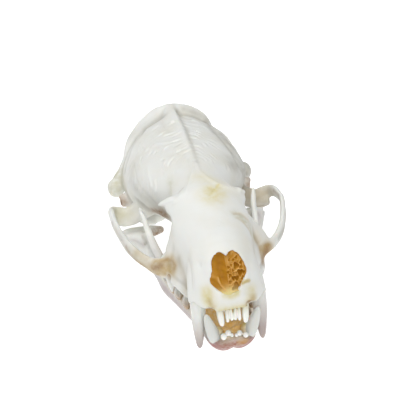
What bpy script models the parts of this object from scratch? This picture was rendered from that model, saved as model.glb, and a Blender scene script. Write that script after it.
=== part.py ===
"""A mink's skull at life size, with its lower jaw in place and the mouth a little open.

The shapes are worked out in millimetres in the skull's own frame: x to the animal's left, y back from the
front of the muzzle, z up from the edge of the upper tooth sockets. The last step turns them to metres and
sets the lower jaw's underside on the floor.
"""
import math

import bmesh
import bpy
import numpy as np
from mathutils import Matrix, Vector

MM = 0.001

# Driving sizes, in millimetres.
SKULL_LENGTH = 66.5        # front of the muzzle to the back of the condyles
DRAWN_LENGTH = 66.5        # the same length as the curves below draw it
GAP = 0.3                  # left open between neighbouring solids

# How the object is set down: nose up, on the jaw's belly and the knobs below the back of the head.
REST_PITCH = math.radians(14.5)
FLAT_DEPTH = 0.2           # worn off where it stands

# Fineness of the faceted skin.
VOXEL = 0.45
CRANIUM_TRIANGLES = 5200
JAW_TRIANGLES = 1800
NODE_TRIANGLES = {
    "muzzle": 2350, "brow": 430, "braincase": 1650, "occiput": 1150, "zygomatic_arch_left": 330,
    "zygomatic_arch_right": 330, "mandible_left": 1150, "mandible_right": 1150,
}

BONE = ((0.90, 0.89, 0.84), 0.55)
JAW_BONE = ((0.86, 0.82, 0.73), 0.55)
SCROLL_BONE = ((0.62, 0.36, 0.08), 0.6)


# ---------------------------------------------------------------- curves

def through(*keys):
    """A smooth curve through (place, size) keys that doesn't swing past them."""
    place, size = (np.array(column, float) for column in zip(*keys))
    step = np.diff(place)
    rise = np.diff(size) / step
    slope = np.concatenate([rise[:1], np.zeros(len(step) - 1), rise[-1:]])
    same_way = rise[:-1] * rise[1:] > 0
    both = rise[:-1] + rise[1:]
    slope[1:-1][same_way] = (2 * rise[:-1] * rise[1:])[same_way] / both[same_way]

    def at(where):
        where = np.clip(where, place[0], place[-1])
        i = np.clip(np.searchsorted(place, where) - 1, 0, len(step) - 1)
        t = (where - place[i]) / step[i]
        return (
            (1 + 2 * t) * (1 - t) ** 2 * size[i]
            + t * (1 - t) ** 2 * step[i] * slope[i]
            + t * t * (3 - 2 * t) * size[i + 1]
            + t * t * (t - 1) * step[i] * slope[i + 1]
        )

    return at


def rounded_outline(corners, per_side):
    """A closed curve through the corners, with each stretch bulged as far as its chord is long."""
    corners = np.array(corners, float)
    ahead, behind = np.roll(corners, -1, 0), np.roll(corners, 1, 0)
    way = ahead - behind
    way /= np.linalg.norm(way, axis=1)[:, None]
    chord = np.linalg.norm(ahead - corners, axis=1)[:, None]
    t = (np.arange(per_side) / per_side)[:, None, None]
    points = (
        (1 + 2 * t) * (1 - t) ** 2 * corners
        + t * (1 - t) ** 2 * way * chord
        + t * t * (3 - 2 * t) * ahead
        + t * t * (t - 1) * np.roll(way, -1, 0) * chord
    )
    return points.transpose(1, 0, 2).reshape(-1, corners.shape[1])


# ---------------------------------------------------------------- solids

def loft(rings):
    """A closed skin over rings that have the same number of points, as a bmesh."""
    bm = bmesh.new()
    loops = [[bm.verts.new(point) for point in ring] for ring in rings]
    count = len(loops[0])
    for near, far in zip(loops, loops[1:]):
        for i in range(count):
            j = (i + 1) % count
            bm.faces.new((near[i], near[j], far[j], far[i]))
    bm.faces.new(loops[0])
    bm.faces.new(loops[-1])
    bmesh.ops.recalc_face_normals(bm, faces=bm.faces)
    return bm


def swept(keys, sides=12, steps=5, up=(0, 0, 1)):
    """A bar along a smooth path. Each key is a point, then its half thickness across and its half height."""
    keys = np.array([[*point, across, high] for point, across, high in keys], float)
    along = np.concatenate([[0], np.cumsum(np.linalg.norm(np.diff(keys[:, :3], axis=0), axis=1))])
    curves = [through(*zip(along, column)) for column in keys.T]
    places = np.interp(np.arange((len(keys) - 1) * steps + 1) / steps, np.arange(len(keys)), along)
    values = np.array([curve(places) for curve in curves]).T
    ahead = np.gradient(values[:, :3], axis=0)
    rings = []
    turn = np.arange(sides) * 2 * math.pi / sides
    for row, way in zip(values, ahead):
        way = way / np.linalg.norm(way)
        across = np.cross(way, up)
        across /= np.linalg.norm(across)
        high = np.cross(across, way)
        rings.append([row[:3] + row[3] * math.cos(a) * across + row[4] * math.sin(a) * high for a in turn])
    return loft(rings)


def ball(centre, radii, turn=(0, 0, 0), segments=20):
    """An ellipsoid, turned by degrees about x, then y, then z."""
    bm = bmesh.new()
    bmesh.ops.create_uvsphere(bm, u_segments=segments, v_segments=segments // 2, radius=1)
    about = [Matrix.Rotation(math.radians(angle), 4, axis) for angle, axis in zip(turn, "XYZ")]
    place = Matrix.Translation(centre) @ about[2] @ about[1] @ about[0] @ Matrix.Diagonal((*radii, 1))
    bmesh.ops.transform(bm, matrix=place, verts=bm.verts)
    return bm


def mirrored(bm):
    """A copy on the other side of the middle plane."""
    other = bm.copy()
    bmesh.ops.transform(other, matrix=Matrix.Diagonal((-1, 1, 1, 1)), verts=other.verts)
    bmesh.ops.reverse_faces(other, faces=other.faces)
    return other


def both_sides(*pieces):
    return [half for piece in pieces for half in (piece, mirrored(piece))]


def joined(pieces):
    """All the bmeshes as one mesh, with each still its own shell."""
    mesh = bpy.data.meshes.new("joined")
    whole = bmesh.new()
    for piece in pieces:
        piece.to_mesh(mesh)
        whole.from_mesh(mesh)
        piece.free()
    whole.to_mesh(mesh)
    whole.free()
    return mesh


def new_object(name, mesh, collection="Skull"):
    group = bpy.data.collections.get(collection)
    if group is None:
        group = bpy.data.collections.new(collection)
        bpy.context.scene.collection.children.link(group)
    made = bpy.data.objects.new(name, mesh)
    group.objects.link(made)
    return made


def settled(obj):
    """The object with its modifiers worked out and gone."""
    graph = bpy.context.evaluated_depsgraph_get()
    mesh = bpy.data.meshes.new_from_object(obj.evaluated_get(graph))
    obj.modifiers.clear()
    obj.data = mesh
    return obj


def eased(mesh, rounds):
    """Evens out the steps that the voxels leave, in pairs of a shrinking and a swelling pass."""
    count = len(mesh.vertices)
    points = np.empty(count * 3, np.float32)
    mesh.vertices.foreach_get("co", points)
    points = points.reshape(-1, 3).astype(float)
    ends = np.empty(len(mesh.edges) * 2, np.int32)
    mesh.edges.foreach_get("vertices", ends)
    a, b = ends.reshape(-1, 2).T
    share = 1 / np.maximum(np.bincount(np.concatenate([a, b]), minlength=count), 1)
    for _ in range(rounds):
        for factor in (0.55, -0.57):
            mean = np.stack(
                [
                    np.bincount(a, points[b, k], count) + np.bincount(b, points[a, k], count)
                    for k in range(3)
                ],
                1,
            ) * share[:, None]
            points += factor * (mean - points)
    mesh.vertices.foreach_set("co", points.astype(np.float32).ravel())
    mesh.update()


def fused(name, pieces, voxel, rounds):
    """One closed skin round all the pieces, as one object."""
    obj = new_object(name, joined(pieces))
    remesh = obj.modifiers.new("Fuse", "REMESH")
    remesh.mode = "VOXEL"
    remesh.voxel_size = voxel
    settled(obj)
    eased(obj.data, rounds)
    return obj


# ---------------------------------------------------------------- cranium

# Across the skull at each y: the middle line's height above and below, and half widths with their heights at
# the brow, the side and the base.
TOP = through((0.9, 3.0), (1.8, 5.2), (3.0, 8.2), (4.3, 10.3), (8, 11.8), (13, 13.0), (18, 14.5),
              (23.5, 16.2), (29, 17.0), (36, 17.5), (45, 18.2), (54, 18.6), (61, 18.3), (63.6, 17.4),
              (65.2, 14.5))
BROW = through((0.9, 3.3), (3.0, 3.9), (4.4, 4.0), (8, 4.7), (13, 5.8), (18, 7.3), (21.4, 7.7), (23.4, 9.1),
               (25.4, 7.0), (29, 5.7), (34, 6.6), (40, 8.5), (48, 9.6), (56, 9.3), (61, 7.2), (65.2, 5.0))
BROW_Z = through((0.9, 2.4), (3.0, 6.6), (4.4, 8.8), (8, 10.1), (13, 11.0), (18, 11.6), (23.4, 12.6),
                 (29, 14.0), (34, 14.8), (42, 15.2), (54, 15.4), (61, 15.6), (65.2, 13.0))
SIDE = through((0.9, 3.9), (3.0, 5.4), (5.0, 6.2), (9, 6.4), (13, 7.2), (16, 8.0), (18.4, 8.0), (20.4, 5.8),
               (23, 4.5), (28, 4.9), (33, 7.6), (38, 10.9), (44, 12.9), (50, 13.5), (56, 13.6), (60, 12.4),
               (65.2, 7.6))
SIDE_Z = through((0.9, 1.6), (4.0, 4.2), (12, 5.8), (20, 7.0), (28, 9.0), (44, 9.0), (54, 8.0), (60, 8.2),
                 (65.2, 7.6))
BASE = through((0.9, 3.8), (3.0, 5.2), (5.0, 6.3), (9, 6.2), (13, 7.4), (17, 9.6), (21, 10.4), (24, 8.6),
               (27, 4.6), (31, 3.6), (38, 5.0), (44, 9.0), (50, 11.8), (57, 12.6), (62, 8.5), (65.2, 5.0))
BASE_Z = through((0.9, 0.3), (24, 0.7), (31, 1.8), (44, 2.2), (57, 2.4), (65.2, 3.4))
BOTTOM = through((0.9, 0.2), (3.0, 0.6), (10, 1.2), (24, 1.4), (29, 1.7), (32, 3.4), (40, 2.6), (50, 2.0),
                 (60, 2.4), (65.2, 3.6))


def cranium_ring(y):
    sides = [(BROW(y), BROW_Z(y)), (SIDE(y), SIDE_Z(y)), (BASE(y), BASE_Z(y))]
    corners = [(0, TOP(y)), *sides, (0, BOTTOM(y)), *[(-x, z) for x, z in reversed(sides)]]
    return [(x, y, z) for x, z in rounded_outline(corners, 7)]


def cranium_core():
    stations = np.concatenate([np.linspace(0.9, 5, 10), np.arange(5.5, 65, 0.6), [65.2]])
    return loft([cranium_ring(y) for y in stations])


def canine_root():
    """The swelling that the upper canine's root makes on the muzzle."""
    return swept([((5.85, 5.2, -0.1), 1.75, 2.0), ((5.7, 6.6, 2.6), 1.7, 2.1), ((5.1, 9.4, 6.0), 1.5, 1.9),
                  ((4.4, 12.4, 8.4), 1.2, 1.4)], up=(0, 1, 0))


def cheek_arch():
    """The bar from the muzzle's side out round the eye socket and back to the jaw joint."""
    return swept([((8.6, 17.0, 1.9), 1.5, 2.3), ((11.0, 18.4, 1.6), 1.2, 2.3),
                  ((13.5, 20.8, 2.4), 1.0, 1.9), ((15.6, 25.0, 3.4), 0.85, 1.7),
                  ((17.1, 30.0, 4.8), 0.7, 1.35), ((18.0, 35.0, 6.0), 0.65, 1.3),
                  ((18.2, 39.4, 6.1), 0.65, 1.5), ((17.5, 42.0, 5.2), 0.8, 1.6),
                  ((15.6, 43.0, 4.4), 1.2, 1.5)])


def socket_rim():
    """The front edge of the eye socket, from the brow down to the cheek arch's root."""
    return swept([((6.4, 19.4, 11.0), 0.9, 0.8), ((7.2, 18.8, 9.0), 0.9, 0.8), ((7.9, 18.2, 6.4), 0.9, 0.9),
                  ((8.9, 17.8, 4.0), 1.0, 1.0), ((10.4, 18.2, 2.8), 0.9, 1.0)], up=(0, 1, 0))


def arch_shelf():
    """The sloping shelf that carries the arch's back end, over the jaw joint."""
    return swept([((9.4, 42.6, 5.0), 3.4, 1.8), ((12.4, 42.0, 3.9), 2.5, 1.0), ((15.2, 41.4, 3.4), 2.4, 0.9),
                  ((17.3, 41.0, 3.9), 2.0, 0.7)], up=(0, -0.7, 0.72))


def joint_ridge():
    """The ridge behind the jaw joint, with its low inner end."""
    return swept([((8.0, 44.4, 0.6), 0.9, 1.8), ((10.0, 44.6, 0.9), 1.0, 1.9), ((12.6, 44.6, 2.2), 0.9, 1.6),
                  ((16.0, 43.8, 2.6), 0.7, 1.4)])


def nape_crest():
    """The crest that runs from the crown's back end down each side to the ear."""
    return swept([((0, 64.1, 18.8), 0.6, 1.8), ((3.6, 63.9, 18.2), 0.6, 1.7), ((6.4, 63.1, 16.9), 0.6, 1.5),
                  ((9.0, 62.0, 14.8), 0.6, 1.4), ((11.1, 60.4, 12.0), 0.6, 1.3),
                  ((12.4, 59.1, 9.2), 0.65, 1.2), ((13.8, 57.9, 6.4), 0.8, 1.3),
                  ((15.0, 56.8, 4.2), 1.2, 1.5)], up=(0.2, 1, 0.5))


def crown_crest():
    return swept([((0, 31, 16.6), 1.0, 0.7), ((0, 39, 17.2), 0.9, 0.9), ((0, 46, 17.8), 0.8, 1.0),
                  ((0, 53, 18.2), 0.8, 1.3), ((0, 59, 18.5), 0.8, 1.5), ((0, 64.4, 18.6), 0.8, 1.6)])


def mastoid():
    return ball((15.0, 56.6, 3.9), (2.2, 2.1, 2.3), segments=14)


def nape_knob():
    return swept([((8.4, 60.4, 3.6), 1.6, 1.8), ((9.0, 60.8, 2.2), 1.2, 1.4), ((9.3, 61.0, 0.9), 0.9, 1.0)],
                 sides=10, up=(0, 1, 0))


def condyle():
    return ball((5.2, 64.2, 4.8), (2.3, 2.2, 3.1), (0, -28, 22), 16)


def ear_tube():
    return swept([((9.5, 51.0, 2.4), 1.8, 1.8), ((12.4, 51.1, 2.8), 1.7, 1.7),
                  ((14.0, 51.2, 3.2), 1.6, 1.6)], sides=14)


def wing():
    """The thin blade beside the inner nostril, with its hook."""
    return swept([((3.2, 28.5, 1.6), 0.55, 1.2), ((3.0, 34.0, 1.0), 0.5, 1.9), ((3.0, 38.5, 0.6), 0.5, 2.2),
                  ((3.1, 41.2, -0.6), 0.45, 1.2), ((3.2, 42.6, -1.5), 0.4, 0.5)], sides=8)


def keel():
    return swept([((0, 29, 3.4), 0.5, 1.2), ((0, 36, 3.2), 0.5, 0.9), ((0, 44, 2.6), 0.5, 0.6)], sides=8)


def cranium():
    """The upper skull in one piece, without teeth."""
    return fused(
        "cranium",
        [cranium_core(), crown_crest(), keel(),
         *both_sides(canine_root(), cheek_arch(), socket_rim(), arch_shelf(), joint_ridge(), nape_crest(),
                     mastoid(), nape_knob(), condyle(), ear_tube(), wing())],
        VOXEL, 3)


# ---------------------------------------------------------------- lower jaw

# Each half at each y: the top edge, the outer side, the lower edge and the inner side, each as x and z.
JAW_TOP_X = through((1.2, 1.9), (6, 3.4), (10, 4.7), (15, 6.4), (20, 8.0), (26, 9.9), (32, 11.8), (38, 13.0),
                    (42.2, 12.8))
JAW_TOP_Z = through((1.2, -6.7), (2.6, -6.2), (5, -5.6), (10, -4.9), (20, -3.8), (26, -3.0), (30, -1.6),
                    (38, 0.4), (41, 0.4), (42.2, -0.2))
JAW_OUTER = through((1.2, 2.9), (3.0, 4.6), (6, 5.1), (10, 5.8), (15, 7.3), (20, 8.8), (26, 10.8),
                    (31, 12.7), (36, 14.2), (40, 15.8), (42.2, 15.2))
JAW_OUTER_Z = through((1.2, -7.1), (6, -7.5), (20, -6.2), (28, -5.2), (34, -3.6), (40, -0.9), (42.2, -0.7))
JAW_LOW_X = through((1.2, 1.6), (6, 2.3), (10, 4.0), (15, 5.8), (20, 7.5), (26, 9.4), (32, 11.4), (38, 12.9),
                    (42.2, 13.2))
JAW_LOW_Z = through((1.2, -7.7), (2.5, -9.1), (4, -10.0), (6.5, -10.2), (10, -9.7), (14, -9.1), (20, -8.8),
                    (26, -8.6), (31, -7.6), (35.5, -6.0), (38.2, -5.2), (39.5, -4.3), (40.6, -2.4),
                    (42.2, -1.2))
JAW_INNER = through((1.2, -0.6), (7, -0.6), (8.6, 0.4), (10, 2.2), (15, 4.8), (20, 6.6), (26, 8.6),
                    (31, 10.6), (36, 11.8), (42.2, 10.8))
JAW_INNER_Z = through((1.2, -7.1), (20, -6.2), (30, -3.4), (42.2, -0.7))


def jaw_ring(y):
    corners = [(JAW_TOP_X(y), JAW_TOP_Z(y)), (JAW_OUTER(y), JAW_OUTER_Z(y)),
               (JAW_LOW_X(y), JAW_LOW_Z(y)), (JAW_INNER(y), JAW_INNER_Z(y))]
    return [(x, y, z) for x, z in rounded_outline(corners, 7)]


# The blade that rises inside the cheek arch, at each height: its front edge, back edge and half thickness.
BLADE_FRONT = through((-3.2, 27.4), (-1, 28.2), (3, 30.4), (6, 32.3), (7.6, 33.6), (8.5, 34.6))
BLADE_BACK = through((-3.2, 40.2), (0, 39.2), (1.4, 37.8), (3, 37.0), (6, 36.2), (7.6, 35.9), (8.5, 35.2))
BLADE_HALF = through((-3.2, 1.3), (-1, 0.9), (2, 0.62), (6, 0.55), (8.5, 0.4))
BLADE_X = through((27, 9.8), (31, 11.6), (35, 12.7), (40, 13.6))


def coronoid_ring(z):
    front, back, half = BLADE_FRONT(z), BLADE_BACK(z), BLADE_HALF(z)
    ring = []
    for angle in np.arange(16) * 2 * math.pi / 16:
        y = (front + back) / 2 - (back - front) / 2 * math.cos(angle)
        ring.append((BLADE_X(y) + half * math.sin(angle), y, z))
    return ring


def jaw_half():
    stations = np.concatenate([np.linspace(1.2, 5, 8), np.arange(5.6, 42, 0.6), [42.2]])
    blade = loft([coronoid_ring(z) for z in np.arange(-3.2, 8.5, 0.6)])
    joint = swept([((7.9, 41.2, -1.2), 0.9, 1.1), ((11, 41.4, -0.6), 1.2, 1.3), ((14, 41.2, -0.1), 1.1, 1.1),
                   ((16.1, 40.6, 0.0), 0.7, 0.8)], sides=12)
    return [loft([jaw_ring(y) for y in stations]), blade, joint]


# ---------------------------------------------------------------- teeth

def tooth(base, tip, across, along, bend=0.0, sides=6, blunt=0.2):
    """A crown from its base to its tip, bent backwards, with its half widths at the base."""
    base, tip = np.array(base, float), np.array(tip, float)
    rings = []
    turn = np.arange(sides) * 2 * math.pi / sides
    for t in (-0.2, 0.3, 0.7, 1.0):
        size = 1 - (1 - blunt) * max(t, 0) ** 2.2 if t < 1 else blunt * 0.8
        centre = base + (tip - base) * t + np.array((0, bend * 4 * t * (t - 1), 0))
        rings.append([centre + (across * size * math.cos(a), along * size * math.sin(a), 0) for a in turn])
    return loft(rings)


def upper_teeth():
    canine = tooth((5.85, 5.2, 0.2), (6.2, 4.4, -8.9), 1.55, 1.8, 0.1, sides=10)
    incisors = [tooth((x, y, 0.3), (x * inward, y - ahead, -long), wide, deep)
                for x, y, long, wide, deep, inward, ahead in (
                    (0.45, 1.3, 2.1, 0.38, 0.6, 1.0, 0.6), (1.3, 1.45, 2.4, 0.44, 0.65, 1.0, 0.6),
                    (2.4, 1.7, 3.1, 0.66, 0.8, 1.0, 0.7))]
    premolars = [tooth((x, y, 0.4), (x, y, -long), wide, deep)
                 for x, y, long, wide, deep in ((6.3, 9.2, 1.2, 0.7, 1.1), (7.2, 12.4, 2.2, 0.9, 1.7))]
    carnassial = [tooth((9.2, 17.0, 0.4), (9.3, 16.8, -3.4), 1.1, 2.2),
                  tooth((9.9, 20.0, 0.4), (10.0, 20.0, -2.3), 0.9, 1.5),
                  tooth((7.3, 15.2, 0.5), (7.2, 15.2, -1.2), 1.0, 0.9)]
    molar = [tooth((9.6, 22.9, 0.5), (9.6, 22.9, -1.2), 1.3, 1.2),
             tooth((7.4, 23.2, 0.5), (7.4, 23.2, -1.0), 1.5, 1.4)]
    return [canine, *incisors, *premolars, *carnassial, *molar]


def lower_teeth():
    canine = tooth((3.2, 3.2, -6.6), (5.0, 1.4, -0.6), 1.25, 1.3, 0.1, sides=8)
    incisors = [tooth((x, y, -6.9), (x, y - 0.2, top), wide, wide, blunt=0.55)
                for x, y, top, wide in (
                    (0.5, 1.9, -5.5, 0.33), (1.35, 2.5, -5.0, 0.5), (2.3, 1.7, -5.4, 0.55))]
    cheek = [tooth((x, y, low), (x, y, top), wide, deep)
             for x, y, low, top, wide, deep in (
                 (4.6, 8.4, -5.4, -3.8, 0.65, 0.9), (5.6, 11.2, -5.0, -2.8, 0.75, 1.3),
                 (6.8, 14.6, -4.6, -1.9, 0.85, 1.6), (7.9, 18.4, -4.2, -1.3, 0.95, 1.6),
                 (8.6, 21.0, -3.9, -0.6, 1.0, 1.5),
                 (9.4, 23.6, -3.5, -2.1, 0.95, 1.4), (10.1, 26.0, -3.2, -2.4, 0.65, 0.75))]
    return [canine, *incisors, *cheek]


# ---------------------------------------------------------------- hollows and loose bones

APERTURE = ((0, 9.6), (1.5, 10.3), (3.1, 8.7), (3.4, 6.5), (2.4, 4.1), (0, 3.2))


def aperture_ring(y, size):
    half = [(x * size, 6.8 + (z - 6.8) * size + 0.12 * max(y - 4, 0)) for x, z in APERTURE]
    corners = half + [(-x, z) for x, z in reversed(half[1:-1])]
    return [(x, y, z) for x, z in rounded_outline(corners, 3)]


def nose_hollow():
    sizes = ((-1, 1), (3, 1), (6, 0.97), (9, 0.93), (12, 0.85), (15, 0.6))
    return loft([aperture_ring(y, size) for y, size in sizes])


def brain_hollow():
    """The room for the brain, which opens at the back through the hole for the spine."""
    rings = []
    for y, across, high, z in ((34, 2.4, 2.2, 11.6), (36, 5.2, 3.6, 11.2), (39, 7.8, 4.6, 10.9),
                               (44, 10.4, 5.3, 10.7), (50, 11.5, 5.6, 10.5), (56, 10.6, 5.2, 10.2),
                               (60, 7.6, 4.4, 9.2), (62.2, 5.0, 3.8, 8.2), (63.6, 4.5, 3.6, 7.9),
                               (68, 4.5, 3.6, 7.9)):
        turn = np.arange(20) * 2 * math.pi / 20
        rings.append([(across * math.cos(a), y, z + high * math.sin(a)) for a in turn])
    return loft(rings)


def ear_bulb(extra=0.0):
    """The swollen ear bone under the braincase; extra makes the socket that it sits in."""
    bm = ball((8.2, 49.4, 1.2), (4.4 + extra, 7.0 + extra, 3.6 + extra), (0, 0, -14), 16)
    for vert in bm.verts:
        vert.co.z = min(vert.co.z, 2.5 + extra)
    return bm


def cheek_hole():
    """The tunnel through the cheek arch's root, in front of the eye."""
    return swept([((8.3, 12.6, 3.9), 0.9, 1.3), ((8.9, 16.0, 3.0), 0.95, 1.3), ((9.6, 19.0, 2.7), 1.0, 1.3),
                  ((10.6, 22.4, 3.2), 1.1, 1.4)])


def ear_hole():
    return swept([((10.5, 51.0, 2.9), 0.8, 0.8), ((16.5, 51.4, 3.4), 0.8, 0.8)], sides=10)


def carved(obj, pieces, operation="DIFFERENCE"):
    """Takes the pieces out of the object, or joins them to it, and leaves no modifier behind."""
    cutter = new_object("Cutter", joined(pieces), "Cutters")
    cutter.display_type = "WIRE"
    cutter.hide_render = True
    carve = obj.modifiers.new("Carve", "BOOLEAN")
    carve.operation = operation
    carve.solver = "EXACT"
    carve.use_self = operation == "UNION"
    carve.object = cutter
    settled(obj)
    bpy.data.objects.remove(cutter)
    return obj


def thinned(obj, triangles):
    fewer = obj.modifiers.new("Fewer", "DECIMATE")
    fewer.ratio = triangles / sum(len(face.vertices) - 2 for face in obj.data.polygons)
    fewer.use_collapse_triangulate = True
    return settled(obj)


def slab(centre, facing, across, tall):
    """A thin box, GAP thick along the way that it faces."""
    facing = Vector(facing).normalized()
    bm = bmesh.new()
    bmesh.ops.create_cube(bm, size=1)
    turn = facing.to_track_quat("Y", "Z").to_matrix().to_4x4()
    place = Matrix.Translation(centre) @ turn @ Matrix.Diagonal((across, GAP, tall, 1))
    bmesh.ops.transform(bm, matrix=place, verts=bm.verts)
    return bm


def loose_parts(obj):
    """Each separate shell of the object as its own bmesh, and the object is removed."""
    whole = bmesh.new()
    whole.from_mesh(obj.data)
    bpy.data.objects.remove(obj)
    found = []
    waiting = set(whole.verts)
    while waiting:
        shell, edge_of = set(), [waiting.pop()]
        while edge_of:
            vert = edge_of.pop()
            shell.add(vert)
            for edge in vert.link_edges:
                other = edge.other_vert(vert)
                if other in waiting:
                    waiting.discard(other)
                    edge_of.append(other)
        piece = bmesh.new()
        copies = {vert: piece.verts.new(vert.co) for vert in shell}
        for face in {face for vert in shell for face in vert.link_faces}:
            piece.faces.new([copies[vert] for vert in face.verts])
        bmesh.ops.recalc_face_normals(piece, faces=piece.faces)
        found.append(piece)
    whole.free()
    return found


def middle_of(bm):
    return sum((vert.co for vert in bm.verts), Vector()) / len(bm.verts)


# ---------------------------------------------------------------- the nodes

def scroll_block(side, front):
    """The rolled bones that fill one half of the nose, with a front that leans back like the nose's own."""
    rings = []
    for y, size in ((front, 0.86), (9.5, 0.82), (12, 0.72), (13.6, 0.6)):
        outline = [Vector(point) for point in aperture_ring(y, size)]
        half = [point for point in outline if point.x * side >= 0.2]
        half.sort(key=lambda point: math.atan2(point.z - 6.8, point.x * side - 1.4))
        lean = 0.42 if y == front else 0
        rings.append([(max(point.x * side, 0.2) * side, y + lean * (point.z - 6.8), point.z)
                      for point in half])
    return loft(rings)


def passage(x, z, radius, front):
    bm = bmesh.new()
    bmesh.ops.create_cone(bm, cap_ends=True, segments=7, radius1=radius, radius2=radius, depth=3.0)
    place = Matrix.Translation((x, front + 0.42 * (z - 6.8) + 0.7, z)) @ Matrix.Rotation(math.pi / 2, 4, "X")
    bmesh.ops.transform(bm, matrix=place, verts=bm.verts)
    return bm


def material(name, look):
    made = bpy.data.materials.new(name)
    made.use_nodes = True
    shader = made.node_tree.nodes["Principled BSDF"]
    shader.inputs["Base Color"].default_value = (*look[0], 1)
    shader.inputs["Roughness"].default_value = look[1]
    return made


def named(name, bm, look):
    """The bmesh as a finished object with its own material."""
    mesh = bpy.data.meshes.new(name)
    bm.to_mesh(mesh)
    bm.free()
    mesh.materials.append(material(name.replace("_", " "), look))
    node = new_object(name, mesh)
    if name in NODE_TRIANGLES:
        thinned(node, NODE_TRIANGLES[name])
    return node


def upper_skull_nodes():
    skull = thinned(cranium(), CRANIUM_TRIANGLES)
    carved(skull, [nose_hollow(), brain_hollow()])
    carved(skull, both_sides(ear_bulb(GAP), cheek_hole()))
    carved(skull, both_sides(ear_hole()))
    carved(skull, both_sides(*upper_teeth()), "UNION")
    carved(skull, [slab((0, 21.8, 8), (0, 16, 9.2), 19.4, 26), slab((0, 31, 9), (0, 18, -5), 30, 26),
                   slab((0, 57.9, 11), (0, 1, -0.534), 40, 30)])
    carved(skull, both_sides(slab((12.5, 19.7, 2.0), (2.4, 2.5, 0.8), 4.2, 7.5),
                             slab((14.1, 42.4, 3.4), (1, 0, 0), 8.5, 9)))
    for piece in loose_parts(skull):
        middle = middle_of(piece)
        if abs(middle.x) > 8:
            named("zygomatic_arch_" + ("left" if middle.x > 0 else "right"), piece, BONE)
        else:
            places = {"muzzle": 13, "brow": 26, "braincase": 45, "occiput": 60}
            named(min(places, key=lambda name: abs(places[name] - middle.y)), piece, BONE)


def lower_jaw_nodes():
    jaw = thinned(fused("jaw", both_sides(*jaw_half()), VOXEL, 3), JAW_TRIANGLES)
    carved(jaw, both_sides(*lower_teeth()), "UNION")
    carved(jaw, [slab((0, 6, -7), (1, 0, 0), 14, 10)])
    for piece in loose_parts(jaw):
        named("mandible_" + ("left" if middle_of(piece).x > 0 else "right"), piece, JAW_BONE)


def small_nodes():
    named("auditory_bulla_left", ear_bulb(), BONE)
    named("auditory_bulla_right", mirrored(ear_bulb()), BONE)
    left = named("turbinates_left", scroll_block(1, 4.3), SCROLL_BONE)
    carved(left, [passage(x, z, radius, 4.3) for x, z, radius in (
        (0.9, 8.9, 0.38), (2.1, 8.2, 0.42), (1.1, 7.3, 0.4), (2.4, 6.6, 0.45), (1.3, 5.7, 0.42),
        (1.5, 4.3, 0.5))])
    named("turbinates_right", scroll_block(-1, 7.6), SCROLL_BONE)


def set_down():
    """Turns the skull nose up, puts its lowest level on the floor and brings millimetres to metres."""
    nodes = [obj for obj in bpy.data.objects if obj.type == "MESH"]
    pitch = Matrix.Rotation(-REST_PITCH, 4, "X")
    for obj in nodes:
        obj.data.transform(pitch)
    low = min(vert.co.z for obj in nodes for vert in obj.data.vertices) + FLAT_DEPTH
    for obj in nodes:
        if min(vert.co.z for vert in obj.data.vertices) < low:
            floor = bmesh.new()
            bmesh.ops.create_cube(floor, size=100, matrix=Matrix.Translation((0, 30, low - 50)))
            carved(obj, [floor])
    every = [vert.co for obj in nodes for vert in obj.data.vertices]
    middle_y = (min(co.y for co in every) + max(co.y for co in every)) / 2
    size = MM * SKULL_LENGTH / DRAWN_LENGTH
    place = Matrix.Scale(size, 4) @ Matrix.Translation((0, -middle_y, -low))
    for obj in nodes:
        obj.data.transform(place)
    return place @ pitch


def main():
    for old in list(bpy.data.objects):
        bpy.data.objects.remove(old)
    upper_skull_nodes()
    lower_jaw_nodes()
    small_nodes()
    return set_down()


main()
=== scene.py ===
import math

import bmesh
import bpy
import numpy as np
from mathutils import Euler, Matrix, Vector, noise


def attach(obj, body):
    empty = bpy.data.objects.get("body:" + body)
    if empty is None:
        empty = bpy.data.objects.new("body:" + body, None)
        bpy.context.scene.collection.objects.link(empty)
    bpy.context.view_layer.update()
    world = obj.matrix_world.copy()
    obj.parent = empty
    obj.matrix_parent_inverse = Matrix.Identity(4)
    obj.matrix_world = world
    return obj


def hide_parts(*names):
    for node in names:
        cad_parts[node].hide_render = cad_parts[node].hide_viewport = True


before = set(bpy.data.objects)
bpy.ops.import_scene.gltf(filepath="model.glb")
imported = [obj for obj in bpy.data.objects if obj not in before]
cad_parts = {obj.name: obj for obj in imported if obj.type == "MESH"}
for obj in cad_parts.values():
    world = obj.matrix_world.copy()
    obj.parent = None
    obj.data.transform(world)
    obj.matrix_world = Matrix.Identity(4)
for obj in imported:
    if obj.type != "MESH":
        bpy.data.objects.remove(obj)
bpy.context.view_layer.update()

bl_info = {
    "name": "Mink skull",
    "version": (1, 0, 0),
    "blender": (4, 5, 0),
    "location": "3D View > Sidebar > Skull",
    "description": "A mink's skull with its lower jaw, dressed over its solids",
    "category": "Object",
}

# The shapes are drawn in millimetres in the skull's own frame: x to the animal's left, y back from the front
# of the muzzle, z up from the edge of the upper tooth sockets. SET_DOWN turns that to metres, nose up on the
# floor, where the solids lie.
MM = 0.001
REST_PITCH = math.radians(14.5)
SET_DOWN = (Matrix.Translation((0, -0.03374145, 0.01499565)) @ Matrix.Rotation(-REST_PITCH, 4, "X")
            @ Matrix.Scale(MM, 4))


# ---------------------------------------------------------------- curves

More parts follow.
